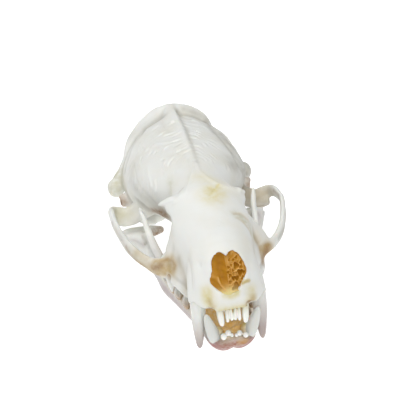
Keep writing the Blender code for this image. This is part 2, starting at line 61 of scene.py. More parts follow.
def through(*keys):
    """A smooth curve through (place, size) keys that doesn't swing past them."""
    place, size = (np.array(column, float) for column in zip(*keys))
    step = np.diff(place)
    rise = np.diff(size) / step
    slope = np.concatenate([rise[:1], np.zeros(len(step) - 1), rise[-1:]])
    same_way = rise[:-1] * rise[1:] > 0
    both = rise[:-1] + rise[1:]
    slope[1:-1][same_way] = (2 * rise[:-1] * rise[1:])[same_way] / both[same_way]

    def at(where):
        where = np.clip(where, place[0], place[-1])
        i = np.clip(np.searchsorted(place, where) - 1, 0, len(step) - 1)
        t = (where - place[i]) / step[i]
        return (
            (1 + 2 * t) * (1 - t) ** 2 * size[i]
            + t * (1 - t) ** 2 * step[i] * slope[i]
            + t * t * (3 - 2 * t) * size[i + 1]
            + t * t * (t - 1) * step[i] * slope[i + 1]
        )

    return at


def rounded_outline(corners, per_side):
    """A closed curve through the corners, with each stretch bulged as far as its chord is long."""
    corners = np.array(corners, float)
    ahead, behind = np.roll(corners, -1, 0), np.roll(corners, 1, 0)
    way = ahead - behind
    way /= np.linalg.norm(way, axis=1)[:, None]
    chord = np.linalg.norm(ahead - corners, axis=1)[:, None]
    t = (np.arange(per_side) / per_side)[:, None, None]
    points = (
        (1 + 2 * t) * (1 - t) ** 2 * corners
        + t * (1 - t) ** 2 * way * chord
        + t * t * (3 - 2 * t) * ahead
        + t * t * (t - 1) * np.roll(way, -1, 0) * chord
    )
    return points.transpose(1, 0, 2).reshape(-1, corners.shape[1])


def turn_points(count):
    """That many angles, evenly round a full turn."""
    return np.arange(count) * 2 * math.pi / count


# ---------------------------------------------------------------- solids

def loft(rings):
    """A closed skin over rings with the same number of points: a grid rolled into a tube and capped."""
    bm = bmesh.new()
    grid = bmesh.ops.create_grid(bm, x_segments=len(rings[0]), y_segments=len(rings) - 1, size=1)
    for vert, point in zip(grid["verts"], (point for ring in rings for point in (*ring, ring[0]))):
        vert.co = point
    bmesh.ops.remove_doubles(bm, verts=bm.verts, dist=0.0001)
    bmesh.ops.holes_fill(bm, edges=bm.edges, sides=0)
    bmesh.ops.recalc_face_normals(bm, faces=bm.faces)
    return bm


def swept(keys, sides=20, steps=8, up=(0, 0, 1)):
    """A bar along a smooth path. Each key is a point, then its half thickness across and its half height."""
    keys = np.array([[*point, across, high] for point, across, high in keys], float)
    along = np.concatenate([[0], np.cumsum(np.linalg.norm(np.diff(keys[:, :3], axis=0), axis=1))])
    curves = [through(*zip(along, column)) for column in keys.T]
    places = np.interp(np.arange((len(keys) - 1) * steps + 1) / steps, np.arange(len(keys)), along)
    values = np.array([curve(places) for curve in curves]).T
    ahead = np.gradient(values[:, :3], axis=0)
    rings = []
    for row, way in zip(values, ahead):
        way = way / np.linalg.norm(way)
        across = np.cross(way, up)
        across /= np.linalg.norm(across)
        high = np.cross(across, way)
        rings.append([row[:3] + row[3] * math.cos(a) * across + row[4] * math.sin(a) * high
                      for a in turn_points(sides)])
    return loft(rings)


def ball(centre, radii, turn=(0, 0, 0), segments=32):
    """An ellipsoid, turned by degrees about x, then y, then z."""
    bm = bmesh.new()
    bmesh.ops.create_uvsphere(bm, u_segments=segments, v_segments=segments // 2, radius=1)
    about = [Matrix.Rotation(math.radians(angle), 4, axis) for angle, axis in zip(turn, "XYZ")]
    place = Matrix.Translation(centre) @ about[2] @ about[1] @ about[0] @ Matrix.Diagonal((*radii, 1))
    bmesh.ops.transform(bm, matrix=place, verts=bm.verts)
    return bm


def mirrored(bm):
    """A copy on the other side of the middle plane."""
    other = bm.copy()
    bmesh.ops.transform(other, matrix=Matrix.Diagonal((-1, 1, 1, 1)), verts=other.verts)
    bmesh.ops.reverse_faces(other, faces=other.faces)
    return other


def on_side(side, bm):
    """The shape as drawn for the animal's left, or its mirror image for side -1."""
    return bm if side > 0 else mirrored(bm)


def both_sides(*pieces):
    """Each shape and its mirror image."""
    return [half for piece in pieces for half in (piece, mirrored(piece))]


def joined(pieces):
    """All the bmeshes as one mesh, with each still its own shell."""
    mesh = bpy.data.meshes.new("joined")
    whole = bmesh.new()
    for piece in pieces:
        piece.to_mesh(mesh)
        whole.from_mesh(mesh)
        piece.free()
    whole.to_mesh(mesh)
    whole.free()
    return mesh


def new_object(name, mesh):
    made = bpy.data.objects.new(name, mesh)
    bpy.context.scene.collection.objects.link(made)
    return made


def settled(obj):
    """The object with its modifiers worked out and gone."""
    graph = bpy.context.evaluated_depsgraph_get()
    mesh = bpy.data.meshes.new_from_object(obj.evaluated_get(graph))
    obj.modifiers.clear()
    obj.data = mesh
    return obj


def points_of(mesh, field="co"):
    values = np.empty(len(mesh.vertices) * 3, np.float32)
    if field == "co":
        mesh.vertices.foreach_get("co", values)
    else:
        mesh.vertex_normals.foreach_get("vector", values)
    return values.reshape(-1, 3).astype(float)


def put_points(mesh, points):
    mesh.vertices.foreach_set("co", points.astype(np.float32).ravel())
    mesh.update()


def keep_amount(mesh, name, amount):
    """Keeps a number on every point, under a name that the materials read."""
    layer = mesh.attributes.new(name, "FLOAT", "POINT")
    layer.data.foreach_set("value", amount.astype(np.float32))


def neighbour_mean(mesh):
    """A function that gives each point the mean of its neighbours' values."""
    count = len(mesh.vertices)
    ends = np.empty(len(mesh.edges) * 2, np.int32)
    mesh.edges.foreach_get("vertices", ends)
    a, b = ends.reshape(-1, 2).T
    share = 1 / np.maximum(np.bincount(np.concatenate([a, b]), minlength=count), 1)

    def mean(values):
        if values.ndim > 1:
            return np.stack([mean(column) for column in values.T], 1)
        return (np.bincount(a, values[b], count) + np.bincount(b, values[a], count)) * share

    return mean


def eased(mesh, rounds):
    """Evens out the steps that the voxels leave, in pairs of a shrinking and a swelling pass."""
    mean, points = neighbour_mean(mesh), points_of(mesh)
    for _ in range(rounds):
        for factor in (0.55, -0.57):
            points += factor * (mean(points) - points)
    put_points(mesh, points)


def evened(mesh, path, width, rounds):
    """Softens the skin near the path only."""
    mean, points = neighbour_mean(mesh), points_of(mesh)
    share = bell(distance_to(points, path), width)[:, None]
    for _ in range(rounds):
        points += 0.6 * share * (mean(points) - points)
    put_points(mesh, points)


def remeshed(obj, voxel, rounds):
    remesh = obj.modifiers.new("Fuse", "REMESH")
    remesh.mode = "VOXEL"
    remesh.voxel_size = voxel
    settled(obj)
    eased(obj.data, rounds)
    return obj


def fused(name, pieces, voxel, rounds):
    """One closed skin round all the pieces, as one object."""
    return remeshed(new_object(name, joined(pieces)), voxel, rounds)


def carved(obj, pieces):
    """Takes the pieces out of the object, and leaves no modifier behind."""
    cutter = new_object("Cutter", joined(pieces))
    carve = obj.modifiers.new("Carve", "BOOLEAN")
    carve.operation = "DIFFERENCE"
    carve.solver = "MANIFOLD"
    carve.object = cutter
    settled(obj)
    bpy.data.objects.remove(cutter)
    return obj


# ---------------------------------------------------------------- relief, stains and painted shade

def distance_to(points, path):
    """Each point's distance to a line through the path's points."""
    path = np.array(path, float)
    if len(path) == 1:
        return np.linalg.norm(points - path[0], axis=1)
    nearest = np.full(len(points), np.inf)
    for start, end in zip(path, path[1:]):
        way = end - start
        t = np.clip((points - start) @ way / (way @ way), 0, 1)
        gap = points - start - t[:, None] * way
        nearest = np.minimum(nearest, np.einsum("ij,ij->i", gap, gap))
    return np.sqrt(nearest)


def bell(distance, width):
    """1 at no distance, and fading out at about twice the width."""
    return np.exp(-(distance / width) ** 2)


def passing(value):
    """A smooth step from 0 to 1 as the value passes 0."""
    return 1 / (1 + np.exp(-value))


def flipped(path):
    """The path's mirror image on the other side."""
    return [(-x, y, z) for x, y, z in path]


def relief(mesh, marks):
    """Raises or cuts each mark: its width, its height and the points it runs through."""
    points, facing = points_of(mesh), points_of(mesh, "normal")
    rise = np.zeros(len(points))
    for width, height, path in marks:
        rise += height * bell(distance_to(points, path), width)
    put_points(mesh, points + facing * rise[:, None])


def stained(mesh, groups):
    """Writes each group of stains or painted shade as a number on every point, from 0 for none to 1.

    A stain is its radius, its strength and the points it runs through. A strength over 1 gives it a full
    middle and a steeper edge.
    """
    points = points_of(mesh)
    for name, marks in groups.items():
        amount = np.zeros(len(points))
        for radius, strength, path in marks:
            amount = np.maximum(amount, strength * bell(distance_to(points, path), radius))
        keep_amount(mesh, name, np.clip(amount, 0, 1))


# ---------------------------------------------------------------- cranium

# Across the skull at each y: the middle line's height above and below, and half widths with their heights at
# the brow, the side and the base.
TOP = through((0.9, 3.0), (1.8, 5.2), (3.0, 8.2), (4.3, 10.3), (8, 11.8), (13, 13.0), (18, 14.5),
              (23.5, 16.2), (29, 17.0), (36, 17.5), (45, 18.2), (54, 18.6), (61, 18.3), (63.6, 17.4),
              (65.2, 14.5))
BROW = through((0.9, 3.3), (3.0, 3.9), (4.4, 4.0), (8, 4.7), (13, 5.8), (18, 7.3), (21.4, 7.5), (23.4, 8.2),
               (25.4, 6.8), (29, 5.7), (34, 6.6), (40, 8.5), (48, 9.6), (56, 9.3), (61, 7.2), (65.2, 5.0))
BROW_Z = through((0.9, 2.4), (3.0, 6.6), (4.4, 8.8), (8, 10.1), (13, 11.0), (18, 11.6), (23.4, 12.6),
                 (29, 14.0), (34, 14.8), (42, 15.2), (54, 15.4), (61, 15.6), (65.2, 13.0))
SIDE = through((0.9, 3.9), (3.0, 5.4), (5.0, 6.2), (9, 6.4), (13, 7.2), (16, 8.0), (18.4, 8.0), (20.4, 5.8),
               (23, 4.5), (28, 4.9), (33, 7.6), (38, 10.9), (44, 12.9), (50, 13.5), (56, 13.6), (60, 12.4),
               (65.2, 7.6))
SIDE_Z = through((0.9, 1.6), (4.0, 4.2), (12, 5.8), (20, 7.0), (28, 9.0), (44, 9.0), (54, 8.0), (60, 8.2),
                 (65.2, 7.6))
BASE = through((0.9, 3.8), (3.0, 5.2), (5.0, 6.3), (9, 6.2), (13, 7.4), (17, 9.6), (21, 10.4), (24, 8.6),
               (27, 4.6), (31, 3.6), (38, 5.0), (44, 9.0), (50, 11.8), (57, 12.6), (62, 8.5), (65.2, 5.0))
BASE_Z = through((0.9, 0.3), (24, 0.7), (31, 1.8), (44, 2.2), (57, 2.4), (65.2, 3.4))
BOTTOM = through((0.9, 0.2), (3.0, 0.6), (10, 1.2), (24, 1.4), (29, 1.7), (32, 3.4), (40, 2.6), (50, 2.0),
                 (60, 2.4), (65.2, 3.6))


def cranium_ring(y):
    sides = [(BROW(y), BROW_Z(y)), (SIDE(y), SIDE_Z(y)), (BASE(y), BASE_Z(y))]
    corners = [(0, TOP(y)), *sides, (0, BOTTOM(y)), *[(-x, z) for x, z in reversed(sides)]]
    return [(x, y, z) for x, z in rounded_outline(corners, 12)]


def cranium_core():
    stations = np.concatenate([np.linspace(0.9, 5, 16), np.arange(5.3, 65, 0.4), [65.2]])
    return loft([cranium_ring(y) for y in stations])


def canine_root():
    """The swelling that the upper canine's root makes on the muzzle."""
    return swept([((5.85, 5.2, 0.3), 1.72, 1.95), ((5.7, 6.6, 2.6), 1.7, 2.1), ((5.1, 9.4, 6.0), 1.5, 1.9),
                  ((4.4, 12.4, 8.4), 1.2, 1.4)], up=(0, 1, 0))


# The bars from the muzzle's sides out round the eye sockets and back to the jaw joint, for each side.
CHEEK_ARCH = {
    1: (((8.6, 17.2, 2.6), 1.4, 1.7), ((11.0, 18.6, 2.7), 1.1, 1.35), ((13.4, 20.9, 2.8), 0.9, 1.2),
        ((15.95, 25.0, 3.6), 0.75, 1.25), ((17.7, 30.0, 4.8), 0.62, 1.2), ((18.6, 35.0, 5.7), 0.55, 1.15),
        ((18.35, 39.4, 5.35), 0.65, 1.4), ((17.3, 42.0, 4.5), 0.8, 1.45), ((15.4, 43.0, 3.8), 1.1, 1.15)),
    -1: (((8.6, 17.0, 1.9), 1.5, 2.2), ((11.0, 18.4, 1.9), 1.2, 2.1), ((13.4, 20.8, 2.35), 1.0, 1.3),
         ((15.95, 25.0, 3.45), 0.85, 1.4), ((17.5, 30.0, 4.8), 0.72, 1.3), ((18.3, 35.0, 5.8), 0.68, 1.3),
         ((18.3, 39.4, 5.5), 0.68, 1.35), ((17.5, 42.0, 4.6), 0.8, 1.2), ((15.6, 43.0, 3.7), 1.1, 1.1)),
}


def socket_rim():
    """The front edge of the eye socket, from the brow down to the cheek arch's root."""
    return swept([((6.4, 19.4, 11.0), 0.9, 0.8), ((7.2, 18.8, 9.0), 0.9, 0.8), ((7.9, 18.2, 6.4), 0.9, 0.9),
                  ((8.9, 17.8, 4.0), 1.0, 1.0), ((10.4, 18.2, 2.8), 0.9, 1.0)], up=(0, 1, 0))


def arch_shelf():
    """The sloping shelf that carries the arch's back end, over the jaw joint."""
    return swept([((9.4, 42.6, 5.4), 3.0, 1.6), ((12.4, 41.9, 3.8), 2.4, 1.0), ((15.2, 41.2, 3.1), 2.2, 0.9),
                  ((17.3, 40.8, 3.5), 1.8, 0.7)], up=(0, -0.7, 0.72))


def joint_ridge():
    """The ridge behind the jaw joint, with its low inner end."""
    return swept([((8.0, 44.4, 0.6), 0.9, 1.8), ((10.0, 44.6, 0.9), 1.0, 1.9), ((12.6, 44.6, 2.2), 0.9, 1.6),
                  ((16.0, 43.8, 2.6), 0.7, 1.4)])


# The crests that run from the crown's back end down each side to the ear.
NAPE_CREST = {
    1: (((0, 64.1, 19.3), 0.6, 1.8), ((3.6, 63.9, 18.5), 0.6, 1.7), ((6.4, 63.1, 17.1), 0.6, 1.5),
        ((7.5, 62.5, 16.1), 0.6, 1.4), ((8.9, 61.6, 13.9), 0.6, 1.1), ((10.8, 60.4, 11.8), 0.6, 1.3),
        ((12.1, 59.1, 9.1), 0.65, 1.2), ((13.2, 57.9, 6.2), 0.8, 1.2), ((14.5, 56.8, 4.0), 1.2, 1.4)),
    -1: (((0, 64.1, 19.3), 0.6, 1.8), ((3.6, 63.9, 18.55), 0.6, 1.7), ((6.5, 63.1, 17.15), 0.6, 1.5),
         ((9.2, 62.0, 15.05), 0.6, 1.4), ((11.4, 60.4, 12.3), 0.6, 1.3), ((12.5, 59.1, 9.3), 0.65, 1.2),
         ((13.7, 57.9, 6.4), 0.8, 1.3), ((15.0, 56.8, 4.2), 1.2, 1.5)),
}


# The height of the crown's crest at each y.
CREST = through((30, 17.0), (33, 17.45), (37, 17.9), (41, 18.3), (46, 18.85), (53, 19.4), (59, 19.85),
                (64.4, 20.2))


def crown_crest():
    """The crown rises to its crest in a long slope on the right side, and drops from it on the left."""
    rings = []
    for y in np.append(np.arange(30, 64.2, 0.8), 64.4):
        foot_x, foot_z = 0.46 * BROW(y), TOP(y) - 0.3 * (TOP(y) - BROW_Z(y))
        top, wide = CREST(y), 0.35 + 0.25 * bell(y - 65, 4)
        rings.append([(0.25 - wide / 2, y, top), (0.25 + wide / 2, y, top), (1.0, y, TOP(y) - 0.3),
                      (0, y, foot_z - 1.5), (-foot_x, y, foot_z - 0.3), (-foot_x, y, foot_z),
                      (-1.4, y, top - 0.42)])
    return loft(rings)


def mastoid(side):
    """The lump behind the ear, a little further out on the right."""
    return ball((15.0 if side > 0 else 15.7, 56.6, 3.9), (2.0, 2.1, 2.3))


# The plates that carry the nape's crests down to the mastoid lumps behind the ears.
MASTOID_PLATE = {
    1: (((11.5, 59.0, 9.2), 0.8, 1.1), ((12.7, 58.0, 7.1), 0.9, 1.3), ((13.9, 57.0, 5.4), 1.1, 1.4),
        ((14.5, 56.3, 4.0), 1.1, 1.3)),
    -1: (((12.4, 59.0, 9.4), 0.9, 1.2), ((13.6, 58.0, 7.3), 1.0, 1.4), ((15.0, 57.0, 5.5), 1.2, 1.5),
         ((15.7, 56.3, 4.1), 1.2, 1.3)),
}
# The rounded front lips of the eye sockets, over the cheek arches' roots.
SOCKET_LIP = {
    1: (((6.2, 21.0, 11.9), 0.8, 0.8), ((7.3, 20.6, 9.6), 0.9, 0.9), ((9.15, 20.2, 7.1), 0.9, 0.9),
        ((10.25, 19.9, 5.7), 0.9, 0.9), ((11.1, 19.7, 4.1), 0.85, 0.9)),
    -1: (((6.0, 21.0, 11.9), 0.8, 0.8), ((6.85, 20.6, 9.6), 0.85, 0.9), ((7.55, 20.2, 7.6), 0.85, 0.9),
         ((8.2, 19.9, 5.8), 0.85, 0.9), ((8.9, 19.7, 4.0), 0.8, 1.0)),
}
# The bone between those lips and the muzzle's side.
SOCKET_WALL = {
    1: (((7.2, 19.4, 9.6), 0.9, 1.4), ((8.2, 19.0, 7.6), 1.0, 1.5), ((9.2, 18.7, 6.0), 1.0, 1.5),
        ((10.0, 18.3, 4.4), 1.0, 1.3)),
    -1: (((6.6, 19.4, 9.8), 0.9, 1.4), ((7.1, 19.2, 8.0), 0.9, 1.5), ((7.8, 18.9, 6.2), 0.95, 1.5),
         ((8.6, 18.4, 4.6), 1.0, 1.3)),
}
# The points of the brow behind the eyes.
BROW_POINT = {
    1: (((6.6, 23.4, 14.0), 0.9, 0.8), ((7.9, 24.2, 13.2), 0.6, 0.5), ((8.6, 24.8, 12.8), 0.25, 0.25)),
    -1: (((6.6, 23.4, 14.0), 0.9, 0.8), ((8.2, 24.3, 13.1), 0.7, 0.6), ((9.2, 25.2, 12.4), 0.4, 0.35),
         ((9.6, 25.6, 12.15), 0.15, 0.15)),
}


def socket_ledge():
    """The edge of the jaw that the cheek teeth stand in."""
    return swept([((6.9, 8.6, 0.3), 0.8, 0.8), ((7.7, 12.4, 0.2), 0.95, 0.9), ((8.8, 16.0, 0.2), 1.0, 0.95),
                  ((9.7, 19.5, 0.3), 1.0, 0.95), ((9.8, 23.0, 0.4), 1.3, 0.9)])


def nape_knob():
    """The point that hangs down beside the condyle."""
    return swept([((8.4, 60.4, 3.6), 1.6, 1.8), ((9.0, 60.8, 2.2), 1.2, 1.4), ((9.3, 61.0, 0.9), 0.9, 1.0)],
                 up=(0, 1, 0))


def condyle():
    """The head that turns on the neck's first bone."""
    return ball((5.2, 64.2, 4.8), (2.3, 2.2, 3.1), (0, -28, 22))


def ear_tube():
    """The bony lip of the ear's opening."""
    return swept([((9.5, 51.0, 2.4), 1.8, 1.8), ((12.4, 51.1, 2.8), 1.7, 1.7), ((14.4, 50.9, 3.1), 1.55, 1.6),
                  ((15.4, 50.6, 3.0), 1.1, 1.35)])


def ear_bulb():
    """The swollen ear bone under the braincase."""
    return ball((8.4, 50.1, 1.2), (4.1, 6.3, 3.6), (0, 0, -10))


def wing():
    """The thin blade beside the inner nostril, with its hook."""
    return swept([((3.2, 28.5, 1.6), 0.55, 1.2), ((3.0, 34.0, 1.0), 0.5, 1.9), ((3.0, 38.5, 0.6), 0.5, 2.2),
                  ((3.1, 41.2, -0.6), 0.45, 1.2), ((3.2, 42.6, -1.5), 0.4, 0.5)], sides=12)


def keel():
    """The low ridge along the middle of the base."""
    return swept([((0, 29, 3.4), 0.5, 1.2), ((0, 36, 3.2), 0.5, 0.9), ((0, 44, 2.6), 0.5, 0.6)], sides=12)


# The nose's opening, seen from the front, as x and z.
OPENING = ((-0.06, 9.85), (0.37, 10.15), (0.82, 10.35), (1.31, 10.36), (1.86, 10.17), (2.36, 9.77),
           (2.81, 9.11), (3.08, 8.37), (3.28, 7.61), (3.42, 6.84), (3.26, 6.23), (2.8, 5.71), (2.34, 5.25),
           (2.0, 4.72), (1.47, 4.1), (0.74, 3.72), (-0.14, 3.47), (-0.97, 3.54), (-1.75, 3.88),
           (-2.42, 4.32), (-3.0, 4.93), (-3.4, 5.54), (-3.4, 6.13), (-3.14, 6.83), (-2.91, 7.87),
           (-2.88, 8.77), (-2.69, 9.43), (-2.31, 9.93), (-1.73, 10.27), (-1.06, 10.4), (-0.55, 10.25),
           (-0.25, 9.95))
NOSE_MIDDLE = 6.9


def nose_rim(x, z):
    """How far back the edge of the opening lies."""
    return 1.54 - 0.4275 * z + 0.0713 * z ** 2 + 0.0833 * x ** 2 + 0.0176 * x


def aperture_ring(y, size):
    corners = [(x * size, NOSE_MIDDLE + (z - NOSE_MIDDLE) * size) for x, z in OPENING]
    return [(x, y, z) for x, z in rounded_outline(corners, 3)]


def nose_hollow():
    """The room inside the nose. Each step is its place and its size beside the opening's."""
    sizes = ((-1, 1), (3, 1), (6, 0.97), (9, 0.93), (12, 0.85), (15, 0.6))
    return loft([aperture_ring(y, size) for y, size in sizes])


def brain_hollow():
    """The room for the brain, which opens at the back through the hole for the spine."""
    rings = []
    for y, across, high, z in ((34, 2.4, 2.2, 11.6), (36, 5.2, 3.6, 11.2), (39, 7.8, 4.6, 10.9),
                               (44, 10.4, 5.3, 10.7), (50, 11.5, 5.6, 10.5), (56, 10.6, 5.2, 10.2),
                               (60, 7.6, 4.4, 9.2), (62.2, 5.0, 3.8, 8.2), (63.6, 4.5, 3.6, 7.9),
                               (68, 4.5, 3.6, 7.9)):
        rings.append([(across * math.cos(a), y, z + high * math.sin(a)) for a in turn_points(48)])
    return loft(rings)


def lip_notch():
    """The dip in the jaw's edge between the third incisor and the canine."""
    return ball((4.15, 1.0, -0.3), (1.15, 1.9, 1.4))


def ear_hole():
    """The bore of the ear tube."""
    return swept([((12.0, 51.0, 2.9), 0.8, 0.8), ((17.5, 50.6, 3.1), 0.9, 1.0)])


# Lines of the surface, each as points on the skin. First the ridges where the chewing muscles end, from the
# crown to the points of the brow, and the sutures, ridges and ripples of the braincase.
TEMPLE_LINE_LEFT = ((0.1, 32.4, 17.4), (0.1, 28.5, 16.9), (1.3, 25.8, 16.5), (2.4, 24.2, 16.1),
                    (3.5, 23.0, 15.7), (5.5, 22.9, 15.1), (6.7, 22.8, 14.5), (7.7, 23.0, 13.9))
TEMPLE_LINE_RIGHT = ((-0.3, 33, 17.4), (-1.1, 30, 17.0), (-2.4, 26.5, 16.3), (-3.9, 22.9, 15.5),
                     (-6.1, 22.4, 14.5), (-7.6, 22.9, 13.8))
SCALE_SUTURE = ((-11.7, 46.7, 13.1), (-11.8, 43, 12.2), (-11.7, 40.7, 11.2), (-11.2, 38.6, 10.3),
                (-10.2, 36.7, 9.8), (-9.5, 35.9, 8.9), (-8.6, 34.8, 8.3))
SIDE_RIDGE = ((-9.1, 41.1, 14.9), (-9.5, 39.3, 14.0), (-9.6, 37.4, 12.9), (-9.3, 35.8, 11.9),
              (-8.8, 34.8, 11.3))
RIPPLE_BACK = ((-8.9, 47, 15.7), (-7.7, 47.7, 16.5), (-6.1, 47.1, 17.2), (-3.8, 45.8, 17.8))
RIPPLE_FRONT = ((-5.8, 37.9, 16.3), (-4.6, 38.3, 16.9), (-3.2, 38.6, 17.3))
# The grooves along the front of the nape's crests, and where their shade is painted.
NAPE_GROOVE_RIGHT = ((-1.4, 61, 18.2), (-3.3, 61.6, 17.6), (-5.3, 61.4, 16.9), (-7.1, 61.1, 15.7),
                     (-8.7, 57.9, 15.6), (-10.3, 57.5, 14.2), (-11.6, 55.7, 12.8), (-12.6, 54.3, 11.0),
                     (-13.3, 54.1, 9.2))
NAPE_GROOVE_LEFT = ((1.1, 62.7, 18.6), (2, 60, 18.1), (3.9, 58.7, 17.8), (5.8, 58.7, 17.1), (7, 55.2, 16.9),
                    (7.6, 52.2, 16.6))
NAPE_HOLLOW = ((7.5, 61.8, 15.6), (7.9, 55.3, 16.4), (8.4, 50.5, 16.1), (9.1, 46.4, 15.6), (9.8, 43.3, 14.7),
               (10.2, 40.3, 13.6), (11.0, 39.2, 11.6), (11.8, 40.4, 9.2))
NAPE_SHADE_LEFT = ((3.0, 63.2, 18.8), (4.4, 62.9, 18.2), (6.5, 62.1, 16.8), (7.7, 61.8, 15.4))
NAPE_SHADE_RIGHT = ((-3.5, 62.6, 18.3), (-7.0, 61.5, 16.3), (-10.2, 61.1, 14.9))
# The right side's suture between brow and cheek, and the two edges of the left one, which stands open.
FACE_SUTURE = ((-4.8, 15.5, 12.6), (-6.5, 16.3, 11.7), (-7.3, 15.8, 10.3), (-8.2, 16.2, 7.4),
               (-9.4, 16.9, 4.3))
BROW_SUTURE_OUTER = ((4.2, 15.3, 12.9), (5.6, 16.0, 12.2), (6.4, 15.6, 11.4), (7.1, 15.4, 9.8),
                     (7.8, 15.6, 7.4))
BROW_SUTURE_INNER = ((4.6, 14.3, 12.5), (5.5, 13.9, 11.7), (6.0, 13.1, 10.6), (6.5, 12.8, 9.2),
                     (7.0, 13.4, 7.6))
# The forked crack in the middle of the brow.
YELLOW_CRACK = ((2.7, 23.1, 15.9), (1.6, 21.6, 15.6), (0.5, 20.3, 15.2))
YELLOW_CRACK_SIDE = ((0.6, 22.8, 15.9), (1.6, 21.6, 15.6))
# The muzzle: the grooves inside the canines' roots, the ridges over the roots, the bone's edge round the
# canines, and the spur at the left of the nose's opening.
ROOT_GROOVE_RIGHT = ((-4.7, 5.0, 8.2), (-4.6, 3.7, 6.9), (-4.5, 2.8, 5.3), (-4.4, 2.1, 4.1), (-4.3, 1.6, 2.7),
                     (-4.3, 1.4, 1.7))
ROOT_GROOVE_LEFT = ((4.3, 4.4, 8.2), (4.3, 3.2, 6.8), (4.3, 2.6, 5.3), (4.1, 2.0, 4.2), (3.8, 1.4, 3.0),
                    (3.6, 1.0, 1.9))
ROOT_RIDGE = ((5.5, 9.2, 9.3), (5.7, 6.0, 6.9), (5.9, 4.0, 3.8), (6.0, 3.5, 1.6))
CANINE_COLLAR = ((7.3, 5.4, 1.3), (6.6, 3.8, 1.4), (5.6, 3.0, 1.5), (4.9, 2.1, 1.3))
NOSE_SPUR = ((2.3, 1.8, 5.05), (3.0, 1.95, 5.15), (3.7, 2.3, 5.0))
# The edges of the cheek arches: the right one's underside, and the left one's inner and outer edge.
ARCH_UNDERSIDE = ((-18.7, 33.2, 6.2), (-17.9, 29.3, 5.2), (-16.8, 25.1, 4.0), (-15.8, 22.9, 2.6),
                  (-14.5, 20.8, 1.8), (-13.1, 19.2, 1.0), (-11.5, 18.0, 0.2))
ARCH_INNER_EDGE = ((17.8, 38.6, 6.0), (18.1, 35.0, 6.1), (17.1, 30.3, 5.4), (15.2, 25.5, 4.3),
                   (13.6, 22.1, 3.2))
ARCH_OUTER_EDGE = ((18.9, 40.0, 6.2), (19.25, 35.0, 6.1), (18.5, 29.7, 5.1), (16.9, 24.5, 3.9),
                   (14.4, 20.4, 3.3))
# The oval dish where the right cheek arch leaves the muzzle, and the valley in front of it.
DISH_RIM = ((-11.1, 17.1, 2.4), (-10.6, 17.3, 3.6), (-9.5, 17.1, 4.2), (-8.6, 15.4, 4.4), (-8.2, 14.2, 3.9),
            (-8.8, 14.7, 2.6), (-9.9, 16.3, 1.5), (-11.1, 17.1, 2.4))
CHEEK_VALLEY = ((-7.8, 13.9, 4.9), (-7.5, 12.3, 3.9), (-7.3, 11.0, 2.8), (-7.1, 9.3, 1.4))
# Where the fused shapes leave a crease that is softened first: the width, the rounds and the path. They are
# the fronts of the nape's crests, the walls of the eye sockets and the crown's right slope.
CREASES = (
    (2.0, 26, NAPE_GROOVE_RIGHT + ((-13.6, 53.4, 6),)),
    (1.8, 18, NAPE_GROOVE_LEFT),
    (1.8, 30, ((7.4, 18.6, 10.4), (8.9, 18.6, 7.4), (9.8, 18.4, 5.4), (10.4, 18.0, 4.2))),
    (1.8, 30, ((-7.2, 18.6, 10.4), (-7.9, 18.4, 8.0), (-8.6, 18.0, 6.4), (-9.2, 17.6, 5.2))),
    (1.0, 8, ((-1.2, 34, 17), (-1.4, 44, 18), (-1.6, 54, 19), (-1.6, 62, 19))),
)


def both(width, height, path):
    """A mark or stain, and its twin on the other side."""
    return [(width, height, path), (width, height, flipped(path))]


